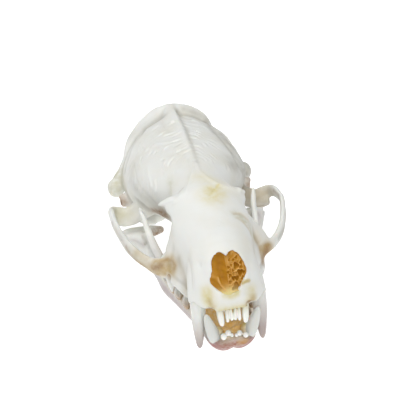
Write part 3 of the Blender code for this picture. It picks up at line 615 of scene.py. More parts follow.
# Relief on the upper skull. Each mark is its width, its height and its path.
CRANIUM_MARKS = (
    (0.4, 0.2, TEMPLE_LINE_LEFT),
    (0.4, 0.2, TEMPLE_LINE_RIGHT),
    (0.35, -0.16, SCALE_SUTURE),
    (0.35, -0.12, flipped(SCALE_SUTURE)),
    (0.5, 0.16, SIDE_RIDGE),
    (0.5, 0.12, flipped(SIDE_RIDGE)),
    (0.9, -0.2, NAPE_GROOVE_RIGHT),
    (0.9, -0.2, NAPE_GROOVE_LEFT),
    (0.35, -0.1, BROW_SUTURE_OUTER),
    (0.35, -0.08, BROW_SUTURE_INNER),
    (0.3, -0.05, FACE_SUTURE),
    # Scratches behind the right point of the brow.
    (0.2, -0.12, ((-5.4, 23.7, 15.1), (-4.1, 24.8, 15.5), (-3.2, 25.2, 15.9))),
    (0.16, -0.1, ((-5.9, 25.4, 14.8), (-4.9, 26.6, 15.3))),
    (0.16, -0.1, ((-5.0, 22.4, 15.2), (-3.9, 23.4, 15.5))),
    (0.7, -0.3, NAPE_HOLLOW),
    (0.3, -0.12, YELLOW_CRACK),
    (0.25, -0.1, YELLOW_CRACK_SIDE),
    (0.5, 0.14, RIPPLE_BACK),
    (0.45, 0.12, RIPPLE_FRONT),
    # Pits on the crown.
    (0.5, -0.2, ((-6, 39.1, 16.4),)),
    (0.35, -0.15, ((-4.6, 32.6, 16.0),)),
    (0.35, -0.15, ((-4.4, 22.7, 15.4),)),
    (1.1, -0.3, ROOT_GROOVE_RIGHT),
    (1.1, -0.3, ROOT_GROOVE_LEFT),
    *both(1.1, 0.25, ROOT_RIDGE),
    *both(0.25, -0.1, CANINE_COLLAR),
    # The hole beside the left canine, and the spur.
    (0.5, -0.9, ((3.3, 1.2, 0.9),)),
    (0.3, 0.25, NOSE_SPUR),
    # The steps of the left nape crest.
    (0.9, -0.5, ((8.9, 61.6, 14.4),)),
    (0.6, 0.25, ((10.4, 61.6, 12.2),)),
    (0.5, -0.25, ((11.4, 60.9, 10.6),)),
    (0.5, 0.2, ((12.4, 60.0, 9.2),)),
    (0.5, -0.25, ((13.1, 59.3, 7.4),)),
    # The dish and valley of the right cheek, and the left cheek's dish.
    (1.2, -0.45, ((-9.6, 16.3, 3.0),)),
    (0.45, 0.12, DISH_RIM),
    (1.0, -0.2, CHEEK_VALLEY),
    (1.0, -0.3, ((10.4, 17.0, 3.0),)),
    # Four small pits.
    *((0.22, -0.1, (pit,)) for pit in ((0.7, 13.2, 12.95), (1.4, 12.4, 12.8), (0.5, 11.6, 12.55),
                                       (-4.9, 44, 17.2))),
)

CRANIUM_STAINS_AND_SHADE = {
    # Painted shade: the parts that lie in shade, painted greyer.
    "painted_shade": (
        # Painted shade on the left flank and the nape's grooves.
        (2.6, 0.75, ((8.6, 37.6, 13.6), (11, 40.2, 12.4), (11.6, 39.7, 10.1))),
        (1.9, 0.85, ((9.7, 52.8, 15.1), (10.4, 47.2, 14.6), (11.2, 45.4, 13.3), (12.6, 43.6, 10.8),
                     (12.2, 41.5, 9.3))),
        (2.2, 1.25, ((15.2, 56.4, 8.0), (16.2, 55.0, 4.6))),
        (1.5, 0.65, NAPE_HOLLOW),
        (1.1, 0.6, NAPE_SHADE_LEFT),
        (1.4, 0.4, NAPE_SHADE_RIGHT),
        (1.2, 0.3, NAPE_GROOVE_RIGHT),
        # Painted shade on the left slope of the crown's crest, and on the right flank.
        (0.6, 0.3, ((1.0, 50.0, 18.5), (0.9, 44.0, 18.2), (0.6, 38.0, 17.8), (0.3, 33.0, 17.5))),
        (3.0, 0.35, ((-12.4, 47.0, 11.5), (-12.2, 41.0, 9.5), (-9.8, 36.0, 8.5))),
        # Painted shade on the cheek arches and their shelves.
        (1.6, 0.45, CHEEK_VALLEY),
        (0.5, 0.9, ARCH_OUTER_EDGE),
        (1.0, 0.35, ((-17.8, 29.3, 5.6), (-16.4, 25.0, 4.6), (-15.0, 22.4, 3.8))),
        (1.4, 0.35, ((-16.2, 25.0, 3.6), (-17.4, 30.0, 5.0))),
        (2.6, 1.2, ((11.6, 42.0, 4.6), (14.6, 41.2, 4.2), (16.4, 40.2, 3.4))),
        (2.4, 0.55, ((-12.4, 43.4, 4.4), (-16.4, 40.8, 4.2))),
    ),
    "yellow": (
        # The brow.
        (2.4, 0.9, ((1.7, 21.4, 15.5), (1.1, 20, 15.2))),
        (2.2, 0.35, ((0.4, 26.0, 16.6), (2.6, 24.2, 16.0))),
        (0.4, 1.2, YELLOW_CRACK),
        (0.35, 0.6, YELLOW_CRACK_SIDE),
        # The muzzle's front: inside the canines, over the incisors and under the nose.
        (1.2, 1.0, ((-4.3, 2.4, 3.8), (-3.9, 1.7, 1.4))),
        (1.3, 0.65, ((3.9, 1.6, 3.2), (3.6, 1.1, 1.6))),
        (1.2, 1.3, ((-1.8, 1.0, -0.1), (0.2, 0.9, -0.3), (2.2, 1.0, -0.1))),
        (0.7, 1.1, ((-1.0, 1.0, 3.4), (0, 0.9, 3.2), (1.0, 1.0, 3.6))),
        (0.35, 1.4, NOSE_SPUR),
        # The right shelf.
        (2.2, 0.25, ((-13.9, 44.4, 2.2), (-16.8, 40.6, 4.3))),
    ),
    "tan": (
        # The root of the right cheek arch, and the arch itself.
        (1.7, 2.2, ((-11.3, 17.5, 2.2), (-9.7, 16.4, 2.9), (-9.0, 15.6, 3.3))),
        (1.5, 0.9, ((-12.9, 18.8, 1.9), (-11.3, 17.6, 1.6))),
        (1.3, 0.5, ((-15.0, 22.4, 3.8), (-14.0, 21.2, 3.5), (-12.8, 19.8, 3.2))),
        (1.0, 0.8, ((-14.8, 21.6, 2.1), (-13.2, 19.2, 1.5), (-12.2, 18.2, 1.2))),
        (1.3, 0.3, CHEEK_VALLEY),
        # The root of the left one, and the left shelf.
        (1.5, 2.4, ((9.6, 16.4, 2.8), (10.9, 17.6, 2.4))),
        (1.3, 0.6, ((8.2, 16.2, 7.2), (8.9, 16.6, 5.0))),
        (2.6, 0.45, ((12.0, 42, 4.4), (16.0, 40.6, 4.6))),
        (0.35, 0.5, BROW_SUTURE_OUTER),
        (0.35, 0.45, BROW_SUTURE_INNER),
        # The spur, the edge over the incisors, and inside the canines.
        (0.28, 1.0, NOSE_SPUR),
        (0.7, 0.6, ((-1.4, 0.9, -0.3), (0.2, 0.8, -0.5), (1.8, 0.9, -0.3))),
        (0.9, 0.9, ((4.0, 1.6, 1.6), (3.6, 1.3, 1.0))),
        (0.6, 0.8, ((-3.9, 1.8, 2.2), (-3.6, 1.3, 1.2))),
    ),
    "brown": (
        # Dried tissue with painted shade on the base inside the arches under the brow, and in the ears.
        (1.4, 1.4, ((-8.6, 38.8, 4.6), (-7.4, 34.0, 6.0))),
        (1.4, 0.5, ((-7.4, 34.0, 6.0), (-5.5, 26, 7.0))),
        (1.7, 1.4, ((8.8, 39.6, 4.2), (7.8, 34.6, 6.3), (5.5, 26, 7.0))),
        *both(1.7, 1.2, ((15.0, 50.6, 3.0),)),
        # The right arch, its dish and the tooth's edge under it.
        (0.5, 0.65, ARCH_UNDERSIDE[2:]),
        (0.4, 0.3, ARCH_UNDERSIDE[:3]),
        (0.3, 0.5, DISH_RIM[1:6]),
        (0.7, 0.8, ((-12.2, 18.1, 2.1), (-11.4, 17.4, 2.5), (-10.9, 17.1, 3.1))),
        (0.7, 0.9, ((-8.3, 14.9, -0.4), (-7.9, 13.4, -0.2))),
        # The left arch, its root and the edge of its shelf.
        (0.35, 0.5, ARCH_INNER_EDGE),
        (1.0, 0.9, ((10.9, 17.9, 2.9), (10.3, 16.9, 1.9), (9.3, 15.3, 1.6))),
        (0.4, 0.9, ((9.3, 15.6, 1.2), (11.0, 18.0, 1.4))),
        (0.5, 0.7, ((12.4, 40.7, 2.5), (14.0, 40.3, 2.0), (15.5, 40.0, 2.0))),
        # The hole beside the left canine, and the longest scratch.
        (0.5, 3.5, ((3.3, 1.3, 0.8),)),
        (0.2, 0.35, ((-5.4, 23.7, 15.1), (-4.1, 24.8, 15.5))),
    ),
    "olive": (
        # The muzzle's left side and the open suture above it.
        (2.2, 0.35, ((7.6, 13.8, 7.2), (7.4, 11.2, 5.2), (7.0, 8.6, 3.6))),
        (1.3, 0.65, ((4.6, 15.2, 12.6), (5.7, 14.9, 11.9), (6.4, 14.2, 10.8), (6.9, 13.8, 9.2),
                     (7.5, 14.6, 7.4))),
        # The right side: mastoid, temple, shelf and arch.
        (2.6, 0.75, ((-16, 55, 4.6), (-15, 57.4, 7))),
        (1.1, 0.45, ((-6, 29.6, 13.3), (-5.8, 31.6, 14.7))),
        (2.4, 0.55, ((-13.9, 44.4, 3.0), (-16.6, 41.0, 4.3))),
        (1.2, 0.6, ((-16.0, 24.0, 3.2), (-13.6, 20.6, 2.2))),
    ),
}


# The chewing muscle's growth lines are two sets of ripples, each with its spacing, how far it wanders and its
# share. They lie between y 33 and y 59, and above z 7.
RIPPLES = ((1.9, 8, 1.0), (1.05, 9, 0.8))
RIPPLE_HEIGHT = 0.065
# How deep a hollow has to be for a full film of dust and painted shade, and the rounds that find the level
# and soften the edge.
HOLLOW_DEPTH = 0.25
LEVEL_ROUNDS = 14
SOFT_ROUNDS = 5


def rippled(mesh):
    """Faint ripples that wrap round the front of the temples, in patches."""
    points, facing = points_of(mesh), points_of(mesh, "normal")
    x, y, z = points.T
    reach = np.hypot(x / 0.6, y - 32) + 0.15 * (z - 16)
    wander = np.array([noise.noise(Vector(point) * 0.3) for point in points])
    patch = np.array([noise.noise(Vector(point) * 0.42 + Vector((9, 3, 1))) for point in points])
    over = passing((y - 33) * 1.2) * passing(59 - y) * passing((z - 7) * 1.2)
    wave = sum(share * np.sin(2 * math.pi * reach / spacing + bend * wander)
               for spacing, bend, share in RIPPLES)
    rise = RIPPLE_HEIGHT * wave * over * np.clip(0.45 + 2.6 * patch, 0, 1.7) + 0.07 * patch
    put_points(mesh, points + facing * rise[:, None])


def hollowness(mesh):
    """How far each point lies below its neighbours' level, for the dust and painted shade that darken the
    hollows.
    """
    mean = neighbour_mean(mesh)
    points, facing = points_of(mesh), points_of(mesh, "normal")
    level = points
    for _ in range(LEVEL_ROUNDS):
        level = mean(level)
    low = np.einsum("ij,ij->i", level - points, facing)
    for _ in range(SOFT_ROUNDS):
        low = (low + mean(low)) / 2
    keep_amount(mesh, "hollow", np.clip(low / HOLLOW_DEPTH, -1, 1))


# The grid that the upper skull's parts are first fused on, before its final one.
FIRST_GRID = 0.32


def cranium(sizes):
    """The upper skull in one skin, without teeth."""
    parts = [cranium_core(), crown_crest(), keel(),
             *both_sides(canine_root(), socket_rim(), arch_shelf(), joint_ridge(), socket_ledge(),
                         nape_knob(), condyle(), ear_tube(), ear_bulb(), wing())]
    for side in (1, -1):
        parts += [on_side(side, shape) for shape in (
            mastoid(side), swept(CHEEK_ARCH[side]), swept(SOCKET_LIP[side], up=(0, 1, 0)),
            swept(SOCKET_WALL[side], up=(0, 1, 0)), swept(BROW_POINT[side]),
            swept(NAPE_CREST[side], up=(0.2, 1, 0.5)), swept(MASTOID_PLATE[side], up=(0.2, 1, 0.5)))]
    obj = fused("cranium", parts, FIRST_GRID, 3)
    carved(obj, [nose_hollow()])
    carved(obj, both_sides(lip_notch()))
    carved(obj, both_sides(ear_hole()))
    remeshed(obj, sizes.fineness / MM, 2)
    for width, rounds, path in CREASES:
        evened(obj.data, path, width, rounds)
    relief(obj.data, CRANIUM_MARKS)
    rippled(obj.data)
    hollowness(obj.data)
    stained(obj.data, CRANIUM_STAINS_AND_SHADE)
    carved(obj, [brain_hollow()])
    return obj


# ---------------------------------------------------------------- lower jaw

# Each half at each y: the top edge, the outer side, the lower edge and the inner side, each as x and z.
JAW_TOP_X = through((1.2, 1.9), (6, 3.4), (10, 4.7), (15, 6.4), (20, 8.0), (26, 9.9), (32, 11.8), (38, 13.0),
                    (42.2, 12.8))
JAW_TOP_Z = through((1.2, -6.7), (2.6, -6.4), (5, -5.6), (10, -4.9), (20, -3.8), (26, -3.0), (30, -1.6),
                    (37, -0.2), (41, -0.1), (42.2, -0.5))
JAW_OUTER = through((1.2, 2.9), (3.0, 4.6), (6, 5.1), (10, 5.8), (15, 7.2), (20, 8.6), (26, 10.2),
                    (31, 11.4), (36, 13.8), (40, 15.8), (42.2, 15.2))
JAW_OUTER_Z = through((1.2, -7.1), (6, -7.5), (20, -6.2), (28, -5.2), (34, -3.6), (40, -0.9), (42.2, -0.7))
JAW_LOW_X = through((1.2, 1.2), (6, 1.6), (10, 3.6), (15, 5.7), (20, 7.4), (26, 9.3), (32, 10.6), (38, 12.7),
                    (42.2, 13.2))
JAW_LOW_Z = through((1.2, -7.9), (2.5, -9.4), (4, -10.3), (6.5, -10.5), (10, -9.8), (14, -9.1), (20, -8.8),
                    (26, -8.6), (31, -7.35), (35.5, -5.8), (38.2, -5.2), (39.5, -4.3), (40.6, -2.4),
                    (42.2, -1.2))
JAW_INNER = through((1.2, -1.4), (9.5, -1.4), (11.4, 0.6), (13, 3.0), (15.5, 4.8), (20, 6.6), (26, 8.6),
                    (31, 10.6), (36, 11.8), (42.2, 10.8))
JAW_INNER_Z = through((1.2, -7.1), (20, -6.2), (30, -3.4), (42.2, -0.7))


def jaw_ring(y, lift):
    corners = [(JAW_TOP_X(y), JAW_TOP_Z(y) + lift * bell(y - 39, 5)), (JAW_OUTER(y), JAW_OUTER_Z(y)),
               (JAW_LOW_X(y), JAW_LOW_Z(y)), (JAW_INNER(y), JAW_INNER_Z(y))]
    return [(x, y, z) for x, z in rounded_outline(corners, 10)]


# The blade that rises inside the cheek arch, at each height: its front edge, back edge and half thickness.
BLADE_FRONT = through((-3.2, 27.4), (-1, 28.2), (3, 30.4), (6, 32.3), (7.6, 33.6), (8.5, 34.6))
BLADE_BACK = through((-3.2, 40.2), (0, 39.2), (1.4, 37.8), (3, 37.0), (6, 36.2), (7.6, 35.9), (8.5, 35.2))
BLADE_HALF = through((-3.2, 1.2), (-1, 0.7), (2, 0.5), (6, 0.42), (8.5, 0.35))
# How far out that front edge lies on each side, how much the blade turns outward behind it, and its top.
BLADE_EDGE = {
    1: through((-3.2, 9.8), (-1.2, 10.7), (1.2, 11.4), (4, 11.7), (6.4, 11.9), (8.3, 12.3)),
    -1: through((-3.2, 9.2), (-0.4, 10.1), (1.2, 10.7), (3.1, 11.3), (4.6, 11.65), (6.2, 11.95),
                (7.6, 12.5)),
}
BLADE_TURN = {
    1: through((-3.2, 0.27), (0, 0.22), (8.5, 0.2)),
    -1: through((-3.2, 0.27), (-1, 0.2), (2, -0.04), (7.6, -0.06)),
}
BLADE_TOP = {1: 8.5, -1: 7.6}


def coronoid_ring(side, z):
    front, back, half = BLADE_FRONT(z), BLADE_BACK(z), BLADE_HALF(z)
    ring = []
    for angle in turn_points(32):
        y = (front + back) / 2 - (back - front) / 2 * math.cos(angle)
        x = BLADE_EDGE[side](z) + BLADE_TURN[side](z) * (y - front)
        ring.append((x + half * math.sin(angle), y, z))
    return ring


# The thick front edge of each blade, which shows as a strap from the front.
BLADE_RIM = {
    1: (((9.7, 26.4, -3.4), 0.9, 1.0), ((10.7, 27.9, -1.2), 0.85, 0.9), ((11.4, 29.5, 1.2), 0.75, 0.8),
        ((11.7, 31.0, 4.0), 0.6, 0.7), ((11.9, 32.6, 6.4), 0.62, 0.6), ((12.3, 34.1, 8.3), 0.5, 0.5),
        ((12.4, 34.6, 9.1), 0.3, 0.3)),
    -1: (((9.25, 27.2, -2.6), 0.95, 1.0), ((10.02, 28.5, -0.4), 0.88, 0.9), ((10.62, 29.4, 1.2), 0.84, 0.85),
         ((11.22, 30.5, 3.1), 0.72, 0.75), ((11.65, 31.5, 4.6), 0.62, 0.7), ((11.95, 32.7, 6.2), 0.6, 0.6),
         ((12.3, 33.3, 7.0), 0.5, 0.5), ((12.55, 33.9, 7.6), 0.25, 0.3)),
}
# How much higher the top edge lies near the joint, on each side.
RAMUS_LIFT = {1: 1.9, -1: 0.0}
# The front edge of the joint on the left, which stands up to the shelf above it.
RAMUS_LIP = (((10.9, 38.1, 1.6), 0.5, 0.8), ((13.0, 38.2, 1.9), 0.55, 0.85), ((15.3, 38.7, 1.3), 0.5, 0.8))


def jaw_half(side):
    """The shapes of one half, both drawn on the animal's left."""
    stations = np.concatenate([np.linspace(1.2, 5, 12), np.arange(5.4, 42, 0.4), [42.2]])
    blade = loft([coronoid_ring(side, z) for z in np.arange(-3.2, BLADE_TOP[side], 0.3)])
    joint = swept([((7.0, 40.7, -0.6), 0.2, 0.25), ((7.4, 40.8, -0.7), 0.6, 0.75),
                   ((8.6, 41.0, -0.9), 0.95, 1.1), ((9.8, 41.2, -1.0), 1.15, 1.35),
                   ((12, 41.4, -0.8), 1.1, 1.1), ((14.4, 41.2, -0.5), 1.0, 0.9),
                   ((16.1, 40.6, -0.3), 0.7, 0.7)])
    body = loft([jaw_ring(y, RAMUS_LIFT[side]) for y in stations])
    collar = ball((2.6, 3.2, -5.6), (0.85, 1.0, 1.1))
    lip = [swept(RAMUS_LIP)] if side > 0 else []
    return [body, blade, swept(BLADE_RIM[side], up=(0, 1, 0.4)), joint, collar, *lip]


# The joint at the chin: the gap between the halves, and the side of the cube that cuts them there.
SYMPHYSIS_GAP = 0.004
WALL = 40
# The upper edge of the chewing muscle's hollow, near the joint.
RAMUS_EDGE = ((14.6, 38.4, -1.1), (13.0, 36.0, -0.9), (12.3, 34.6, -0.8))
# The stain of the marrow bone that lies bare behind the front teeth, how rough that bone is, and how many
# lumps it has in a millimetre.
MARROW = (2.2, 1.9, ((0.6, 4.8, -5.9), (1.6, 7.0, -5.6), (2.6, 10.0, -5.4)))
MARROW_ROUGHNESS = 0.45
MARROW_LUMPS = 1.5
# Relief on the lower jaw.
JAW_MARKS = (
    # The chewing muscle's hollow.
    (1.5, -0.4, ((14.4, 38.0, -0.9), (13.7, 35.9, -0.6), (12.8, 33.0, -1.4))),
    # The two holes for the chin's nerves.
    (0.35, -0.3, ((5.4, 7.2, -7.4),)),
    (0.3, -0.3, ((6.0, 10.6, -7.0),)),
    # The groove along the hollow's edge, and the ridge under it.
    (0.5, -0.3, RAMUS_EDGE),
    (0.6, 0.18, ((14.6, 39.6, -1.4), (13.6, 36.8, -3.0), (12.0, 32.0, -5.2))),
)
JAW_STAINS_AND_SHADE = {
    # Painted shade along the outer side's lower edge and on the chin's sides.
    "painted_shade": (
        (2.2, 0.8, ((5.8, 10, -8.4), (7.6, 18, -7.6), (10.0, 26, -6.8), (11.4, 31, -5.8))),
        (1.5, 1.1, ((5.8, 6.0, -8.2), (4.8, 2.9, -7.7), (3.4, 1.8, -7.4))),
    ),
    "yellow": (
        (1.1, 1.2, ((2.6, 3.2, -4.9),)),
        (1.5, 0.5, ((4.6, 8.4, -5.6), (7.9, 18.4, -4.4), (10.1, 26, -3.4))),
    ),
    "pink": (
        # The chin, from below and from the front, and a trace along the side.
        (1.5, 2.6, ((3.9, 2.2, -9.3), (2.2, 1.6, -9.4), (0.4, 1.6, -9.2))),
        (0.9, 2.4, ((0, 1.4, -8.4),)),
        (1.1, 1.2, ((4.4, 2.6, -8.3), (2.8, 1.5, -8.0), (1.4, 1.2, -7.9), (0.2, 1.2, -7.7))),
        (1.6, 0.22, ((6.6, 12, -7.6), (8.8, 20, -7.0), (10.4, 25, -6.4))),
    ),
    "brown": (
        # Under the incisors, the back of the blade, the joint, the blade's inner side and the cheek teeth.
        (1.2, 0.55, ((0.9, 1.0, -7.0), (2.4, 1.2, -7.0))),
        (1.0, 0.7, ((13.3, 34.5, -0.2),)),
        (1.3, 1.5, ((7.4, 40.4, -1.0), (8.8, 40.2, -1.3))),
        (0.6, 1.2, ((9.2, 29.5, 1.2), (9.0, 28.0, -1.0))),
        (1.5, 1.0, ((7.9, 17.1, -3.6), (7.4, 14.1, -4.2))),
    ),
    "amber": (MARROW,),
}
# Stains, and painted shade, that only one half has.
JAW_SIDE_STAINS_AND_SHADE = {
    1: {
        "amber": ((0.8, 0.45, ((1.2, 1.2, -7.2), (2.2, 1.4, -7.3))),),
        # Painted shade on the left half near the joint.
        "painted_shade": ((1.7, 0.6, ((14.0, 38.2, 0.8), (12.8, 34.0, -0.6))),),
    },
    -1: {
        "pink": ((1.0, 0.7, ((2.0, 1.2, -7.4), (3.6, 1.8, -7.5))),),
        # Painted shade along the right half's hollow edge and its blade.
        "painted_shade": ((0.7, 0.35, RAMUS_EDGE),
                 (1.0, 0.45, ((11.0, 30.2, 2.4), (10.0, 28.5, -0.4), (9.2, 27.2, -2.6)))),
        "brown": ((0.4, 0.6, ((10.4, 29.8, 2.2), (9.5, 28.0, -0.6), (8.8, 26.8, -2.6))),),
    },
}


def spongy(mesh):
    """Roughens the skin where the marrow bone lies bare."""
    points, facing = points_of(mesh), points_of(mesh, "normal")
    radius, _, path = MARROW
    lumps = np.array([noise.noise(Vector(point) * MARROW_LUMPS) for point in points])
    rise = MARROW_ROUGHNESS * lumps * bell(distance_to(points, path), radius)
    put_points(mesh, points + facing * rise[:, None])


def jaw_side(side, sizes):
    """One half of the lower jaw; side is 1 for the animal's left."""
    obj = fused("mandible_" + ("left" if side > 0 else "right"), jaw_half(side), sizes.fineness / MM, 3)
    relief(obj.data, JAW_MARKS)
    spongy(obj.data)
    hollowness(obj.data)
    wall = bmesh.new()
    beyond = Matrix.Translation(((SYMPHYSIS_GAP - WALL) / 2, 10, -10))
    bmesh.ops.create_cube(wall, size=WALL, matrix=beyond)
    carved(obj, [wall])
    stained(obj.data, {name: marks + JAW_SIDE_STAINS_AND_SHADE[side].get(name, ())
                       for name, marks in JAW_STAINS_AND_SHADE.items()})
    if side < 0:
        obj.data.transform(Matrix.Diagonal((-1, 1, 1, 1)))
        obj.data.flip_normals()
    return obj


# ---------------------------------------------------------------- teeth

def crown(keys, sides=24, steps=10):
    return swept(keys, sides, steps, up=(0, 1, 0))


def upper_canine():
    return [crown([((5.6, 6.4, 2.6), 1.3, 1.4), ((5.85, 5.0, 0.42), 1.49, 1.7),
                   ((5.93, 4.7, -1.4), 1.42, 1.58), ((6.03, 4.5, -3.05), 1.31, 1.42),
                   ((6.1, 4.43, -5.2), 1.08, 1.15), ((6.17, 4.35, -7.2), 0.8, 0.85),
                   ((6.19, 4.32, -8.3), 0.6, 0.62), ((6.2, 4.3, -8.95), 0.34, 0.36),
                   ((6.2, 4.3, -9.2), 0.06, 0.06)])]


def lower_canine():
    return [crown([((2.9, 4.2, -8.4), 0.9, 0.95), ((3.35, 3.2, -6.7), 1.26, 1.3),
                   ((3.74, 2.8, -5.35), 1.26, 1.3), ((4.2, 2.34, -3.7), 1.1, 1.14),
                   ((4.62, 1.88, -2.1), 0.82, 0.85), ((4.9, 1.52, -0.9), 0.54, 0.56),
                   ((5.0, 1.4, -0.42), 0.28, 0.3), ((5.03, 1.36, -0.28), 0.05, 0.05)])]


def spade(x, y, long, wide, deep, ahead, inward):
    """A small cutting tooth with a rounded edge."""
    return crown([((x, y + 0.4, 1.2), wide * 0.7, deep * 0.9), ((x, y, 0.1), wide * 0.8, deep),
                  ((x + inward, y - ahead * 0.6, -long * 0.55), wide, deep * 0.85),
                  ((x + inward * 1.5, y - ahead, -long * 0.85), wide * 0.92, deep * 0.55),
                  ((x + inward * 1.6, y - ahead, -long * 0.97), wide * 0.6, deep * 0.3),
                  ((x + inward * 1.6, y - ahead, -long), wide * 0.2, deep * 0.12)], sides=16, steps=6)


def moved(shells, shift):
    for shell in shells:
        bmesh.ops.translate(shell, vec=shift, verts=shell.verts)
    return shells


def upper_incisors():
    """Three on each side, a little to the left of the middle."""
    return moved(both_sides(
        spade(0.4, 1.5, 2.15, 0.33, 0.6, 0.5, -0.04), spade(1.17, 1.6, 2.4, 0.37, 0.65, 0.5, -0.02),
        crown([((2.6, 2.6, 1.6), 0.55, 0.7), ((2.5, 1.85, 0.3), 0.66, 0.85), ((2.38, 1.4, -1.3), 0.66, 0.78),
               ((2.3, 1.1, -2.2), 0.56, 0.6), ((2.24, 0.98, -2.8), 0.36, 0.38),
               ((2.22, 0.95, -3.05), 0.06, 0.06)], sides=16, steps=6)), (0.1, 0, 0))


# The knobbed heads of the lower incisors on each side: x, y, z and half width.
LOWER_KNOBS = {
    1: ((0.52, 1.5, -5.75, 0.36), (1.2, 1.75, -5.55, 0.54), (2.3, 1.4, -5.9, 0.56)),
    -1: ((0.35, 1.5, -5.6, 0.37), (1.0, 1.7, -5.1, 0.57), (1.95, 1.3, -5.48, 0.64)),
}


def lower_incisors():
    """Only the knobbed heads stand clear of the gum line."""
    return [on_side(side, crown(
        [((x * 0.94, y + 1.5, z - 1.6), 0.3, 0.4), ((x, y + 0.55, z - wide), wide * 0.7, wide * 0.8),
         ((x, y, z), wide, wide), ((x, y - 0.03, z + wide * 0.6), wide * 0.8, wide * 0.8),
         ((x, y - 0.04, z + wide * 0.95), wide * 0.35, wide * 0.35)], sides=16, steps=5))
            for side in (1, -1) for x, y, z, wide in LOWER_KNOBS[side]]


def crown_point(centre, half_long, half_wide, neck, tip, lean=0.0):
    """A cheek tooth's point: long at the neck, with a blunt ridge; centre is its x and y at the neck."""
    x, y = centre
    drop = tip - neck
    rings = []
    for t, long, wide in ((-0.35, 0.8, 0.75), (-0.1, 0.97, 0.95), (0.1, 1.0, 1.0), (0.35, 0.82, 0.85),
                          (0.6, 0.56, 0.6), (0.8, 0.33, 0.36), (0.93, 0.17, 0.2), (1.0, 0.05, 0.06)):
        rings.append([(x + half_wide * wide * math.cos(a), y + lean * t + half_long * long * math.sin(a),
                       neck + drop * t) for a in turn_points(24)])
    return loft(rings)


# Each point of the cheek teeth: its x and y, half length, half width, neck height, tip height and lean.
UPPER_CHEEK = (
    ((6.35, 9.3), 1.15, 0.72, 0.2, -1.15), ((7.15, 12.6), 1.75, 0.85, 0.2, -2.2, -0.2),
    ((9.15, 17.3), 2.5, 1.05, 0.3, -3.3, -0.5), ((9.75, 20.4), 1.7, 0.85, 0.3, -2.2, 0.5),
    ((8.7, 15.2), 0.8, 0.8, 0.2, -1.3), ((7.5, 15.8), 0.95, 0.95, 0.3, -1.3),
    ((9.7, 23.0), 1.15, 1.2, 0.3, -1.2), ((8.5, 23.1), 0.9, 1.2, 0.3, -0.7),
    ((7.2, 23.3), 1.4, 1.1, 0.3, -0.9))
LOWER_CHEEK = (
    ((4.5, 8.2), 0.95, 0.65, -5.5, -4.2), ((5.55, 11.0), 1.35, 0.75, -5.1, -3.2, -0.2),
    ((6.75, 14.4), 1.7, 0.85, -4.8, -2.4, -0.2), ((7.7, 18.0), 1.9, 0.95, -4.4, -1.9, -0.3),
    ((8.4, 20.8), 1.7, 0.95, -4.2, -1.2, 0.2), ((9.1, 23.4), 1.4, 0.9, -3.9, -2.6),
    ((9.9, 26.0), 0.75, 0.65, -3.4, -2.7))


def cheek_row(points):
    return [crown_point(*row) for row in points]


# ---------------------------------------------------------------- scroll bones of the nose

# Each hollow of the sponge: its x and z, its radius and its depth.
SPONGE_HOLLOWS = (
    (1.62, 7.93, 0.45, 0.5), (2.19, 6.75, 0.46, 0.65), (0.77, 6.1, 0.34, 0.4), (1.4, 6.03, 0.36, 0.4),
    (2.61, 8.21, 0.26, 0.35), (1.91, 9.13, 0.26, 0.2), (1.06, 4.6, 0.6, 0.6), (0.15, 7.97, 0.24, 0.2),
    (0.68, 8.19, 0.22, 0.2), (0.9, 7.38, 0.22, 0.25), (2.95, 6.6, 0.24, 0.3), (2.5, 5.75, 0.3, 0.3),
    (0.5, 9.0, 0.2, 0.15), (-0.1, 7.2, 0.24, 0.2), (0.2, 6.6, 0.28, 0.2), (2.55, 7.6, 0.3, 0.15),
    (1.2, 8.9, 0.22, 0.15), (0.1, 5.6, 0.3, 0.15), (1.5, 7.0, 0.2, 0.15))
# The right side, as x and z: its broad channel, its curled edge and the groove beside that.
CHANNEL = ((-1.1, 9.6), (-1.2, 8.7), (-1.4, 7.5), (-1.1, 6.4))
CURLED_EDGE = ((-2.02, 6.42), (-1.93, 5.82), (-1.73, 5.29), (-1.34, 4.73), (-0.95, 4.14))
EDGE_GROOVE = ((-2.9, 5.9), (-2.6, 5.1), (-2.0, 4.5))
# The room that the two sides share: the x where they meet, how far it reaches from the middle, the height of
# its floor, how tall it is, and where it is closed at the back.
MIDDLE_WALL = -0.3
ROOM_REACH = 3.7
ROOM_FLOOR = 2.6
ROOM_HEIGHT = 8.2
ROOM_BACK = 9.5
# How much larger than the opening the scroll bones are, so that their edge lies inside the bone.
ROOM_SIZE = 1.06


def nose_floor(x, z):
    """How much of the nose's pale lower lip shows: 1 at the bottom edge, 0 above it."""
    return passing(3 * (4.5 - z - 0.35 * np.abs(x - MIDDLE_WALL)))


def sponge_depth(x, z):
    """How far back from the nose's opening the left side's surface lies."""
    depth = 0.5 + 0.06 * np.sin(2.6 * x + 1.9 * z)
    depth += 0.05 * np.sin(6.3 * x - 4.7 * z) * np.sin(3.1 * z + 2 * x)
    for hx, hz, radius, deep in SPONGE_HOLLOWS:
        wobble = 1 + 0.22 * np.sin(3 * np.arctan2(z - hz, x - hx) + 9 * hx)
        away = np.hypot(x - hx, z - hz) / (radius * wobble)
        depth += deep / (1 + away ** 6) - (0.08 + 0.2 * radius) * np.exp(-((away - 1.4) / 0.3) ** 2)
    return depth - 0.3 * nose_floor(x, z)


def channel_depth(x, z):
    """The same for the right side: a broad channel beside a strip, with one curled edge."""
    depth = 0.5 + 0.05 * np.sin(1.7 * z) + 0.03 * np.sin(5 * z + 3 * x)
    places = np.stack([x, z], 1)
    for path, deep, width in ((CHANNEL, 0.5, 0.9), (CURLED_EDGE, -0.35, 0.2), (EDGE_GROOVE, 0.25, 0.45)):
        depth += deep * bell(distance_to(places, path), width)
    return depth - 0.3 * nose_floor(x, z)


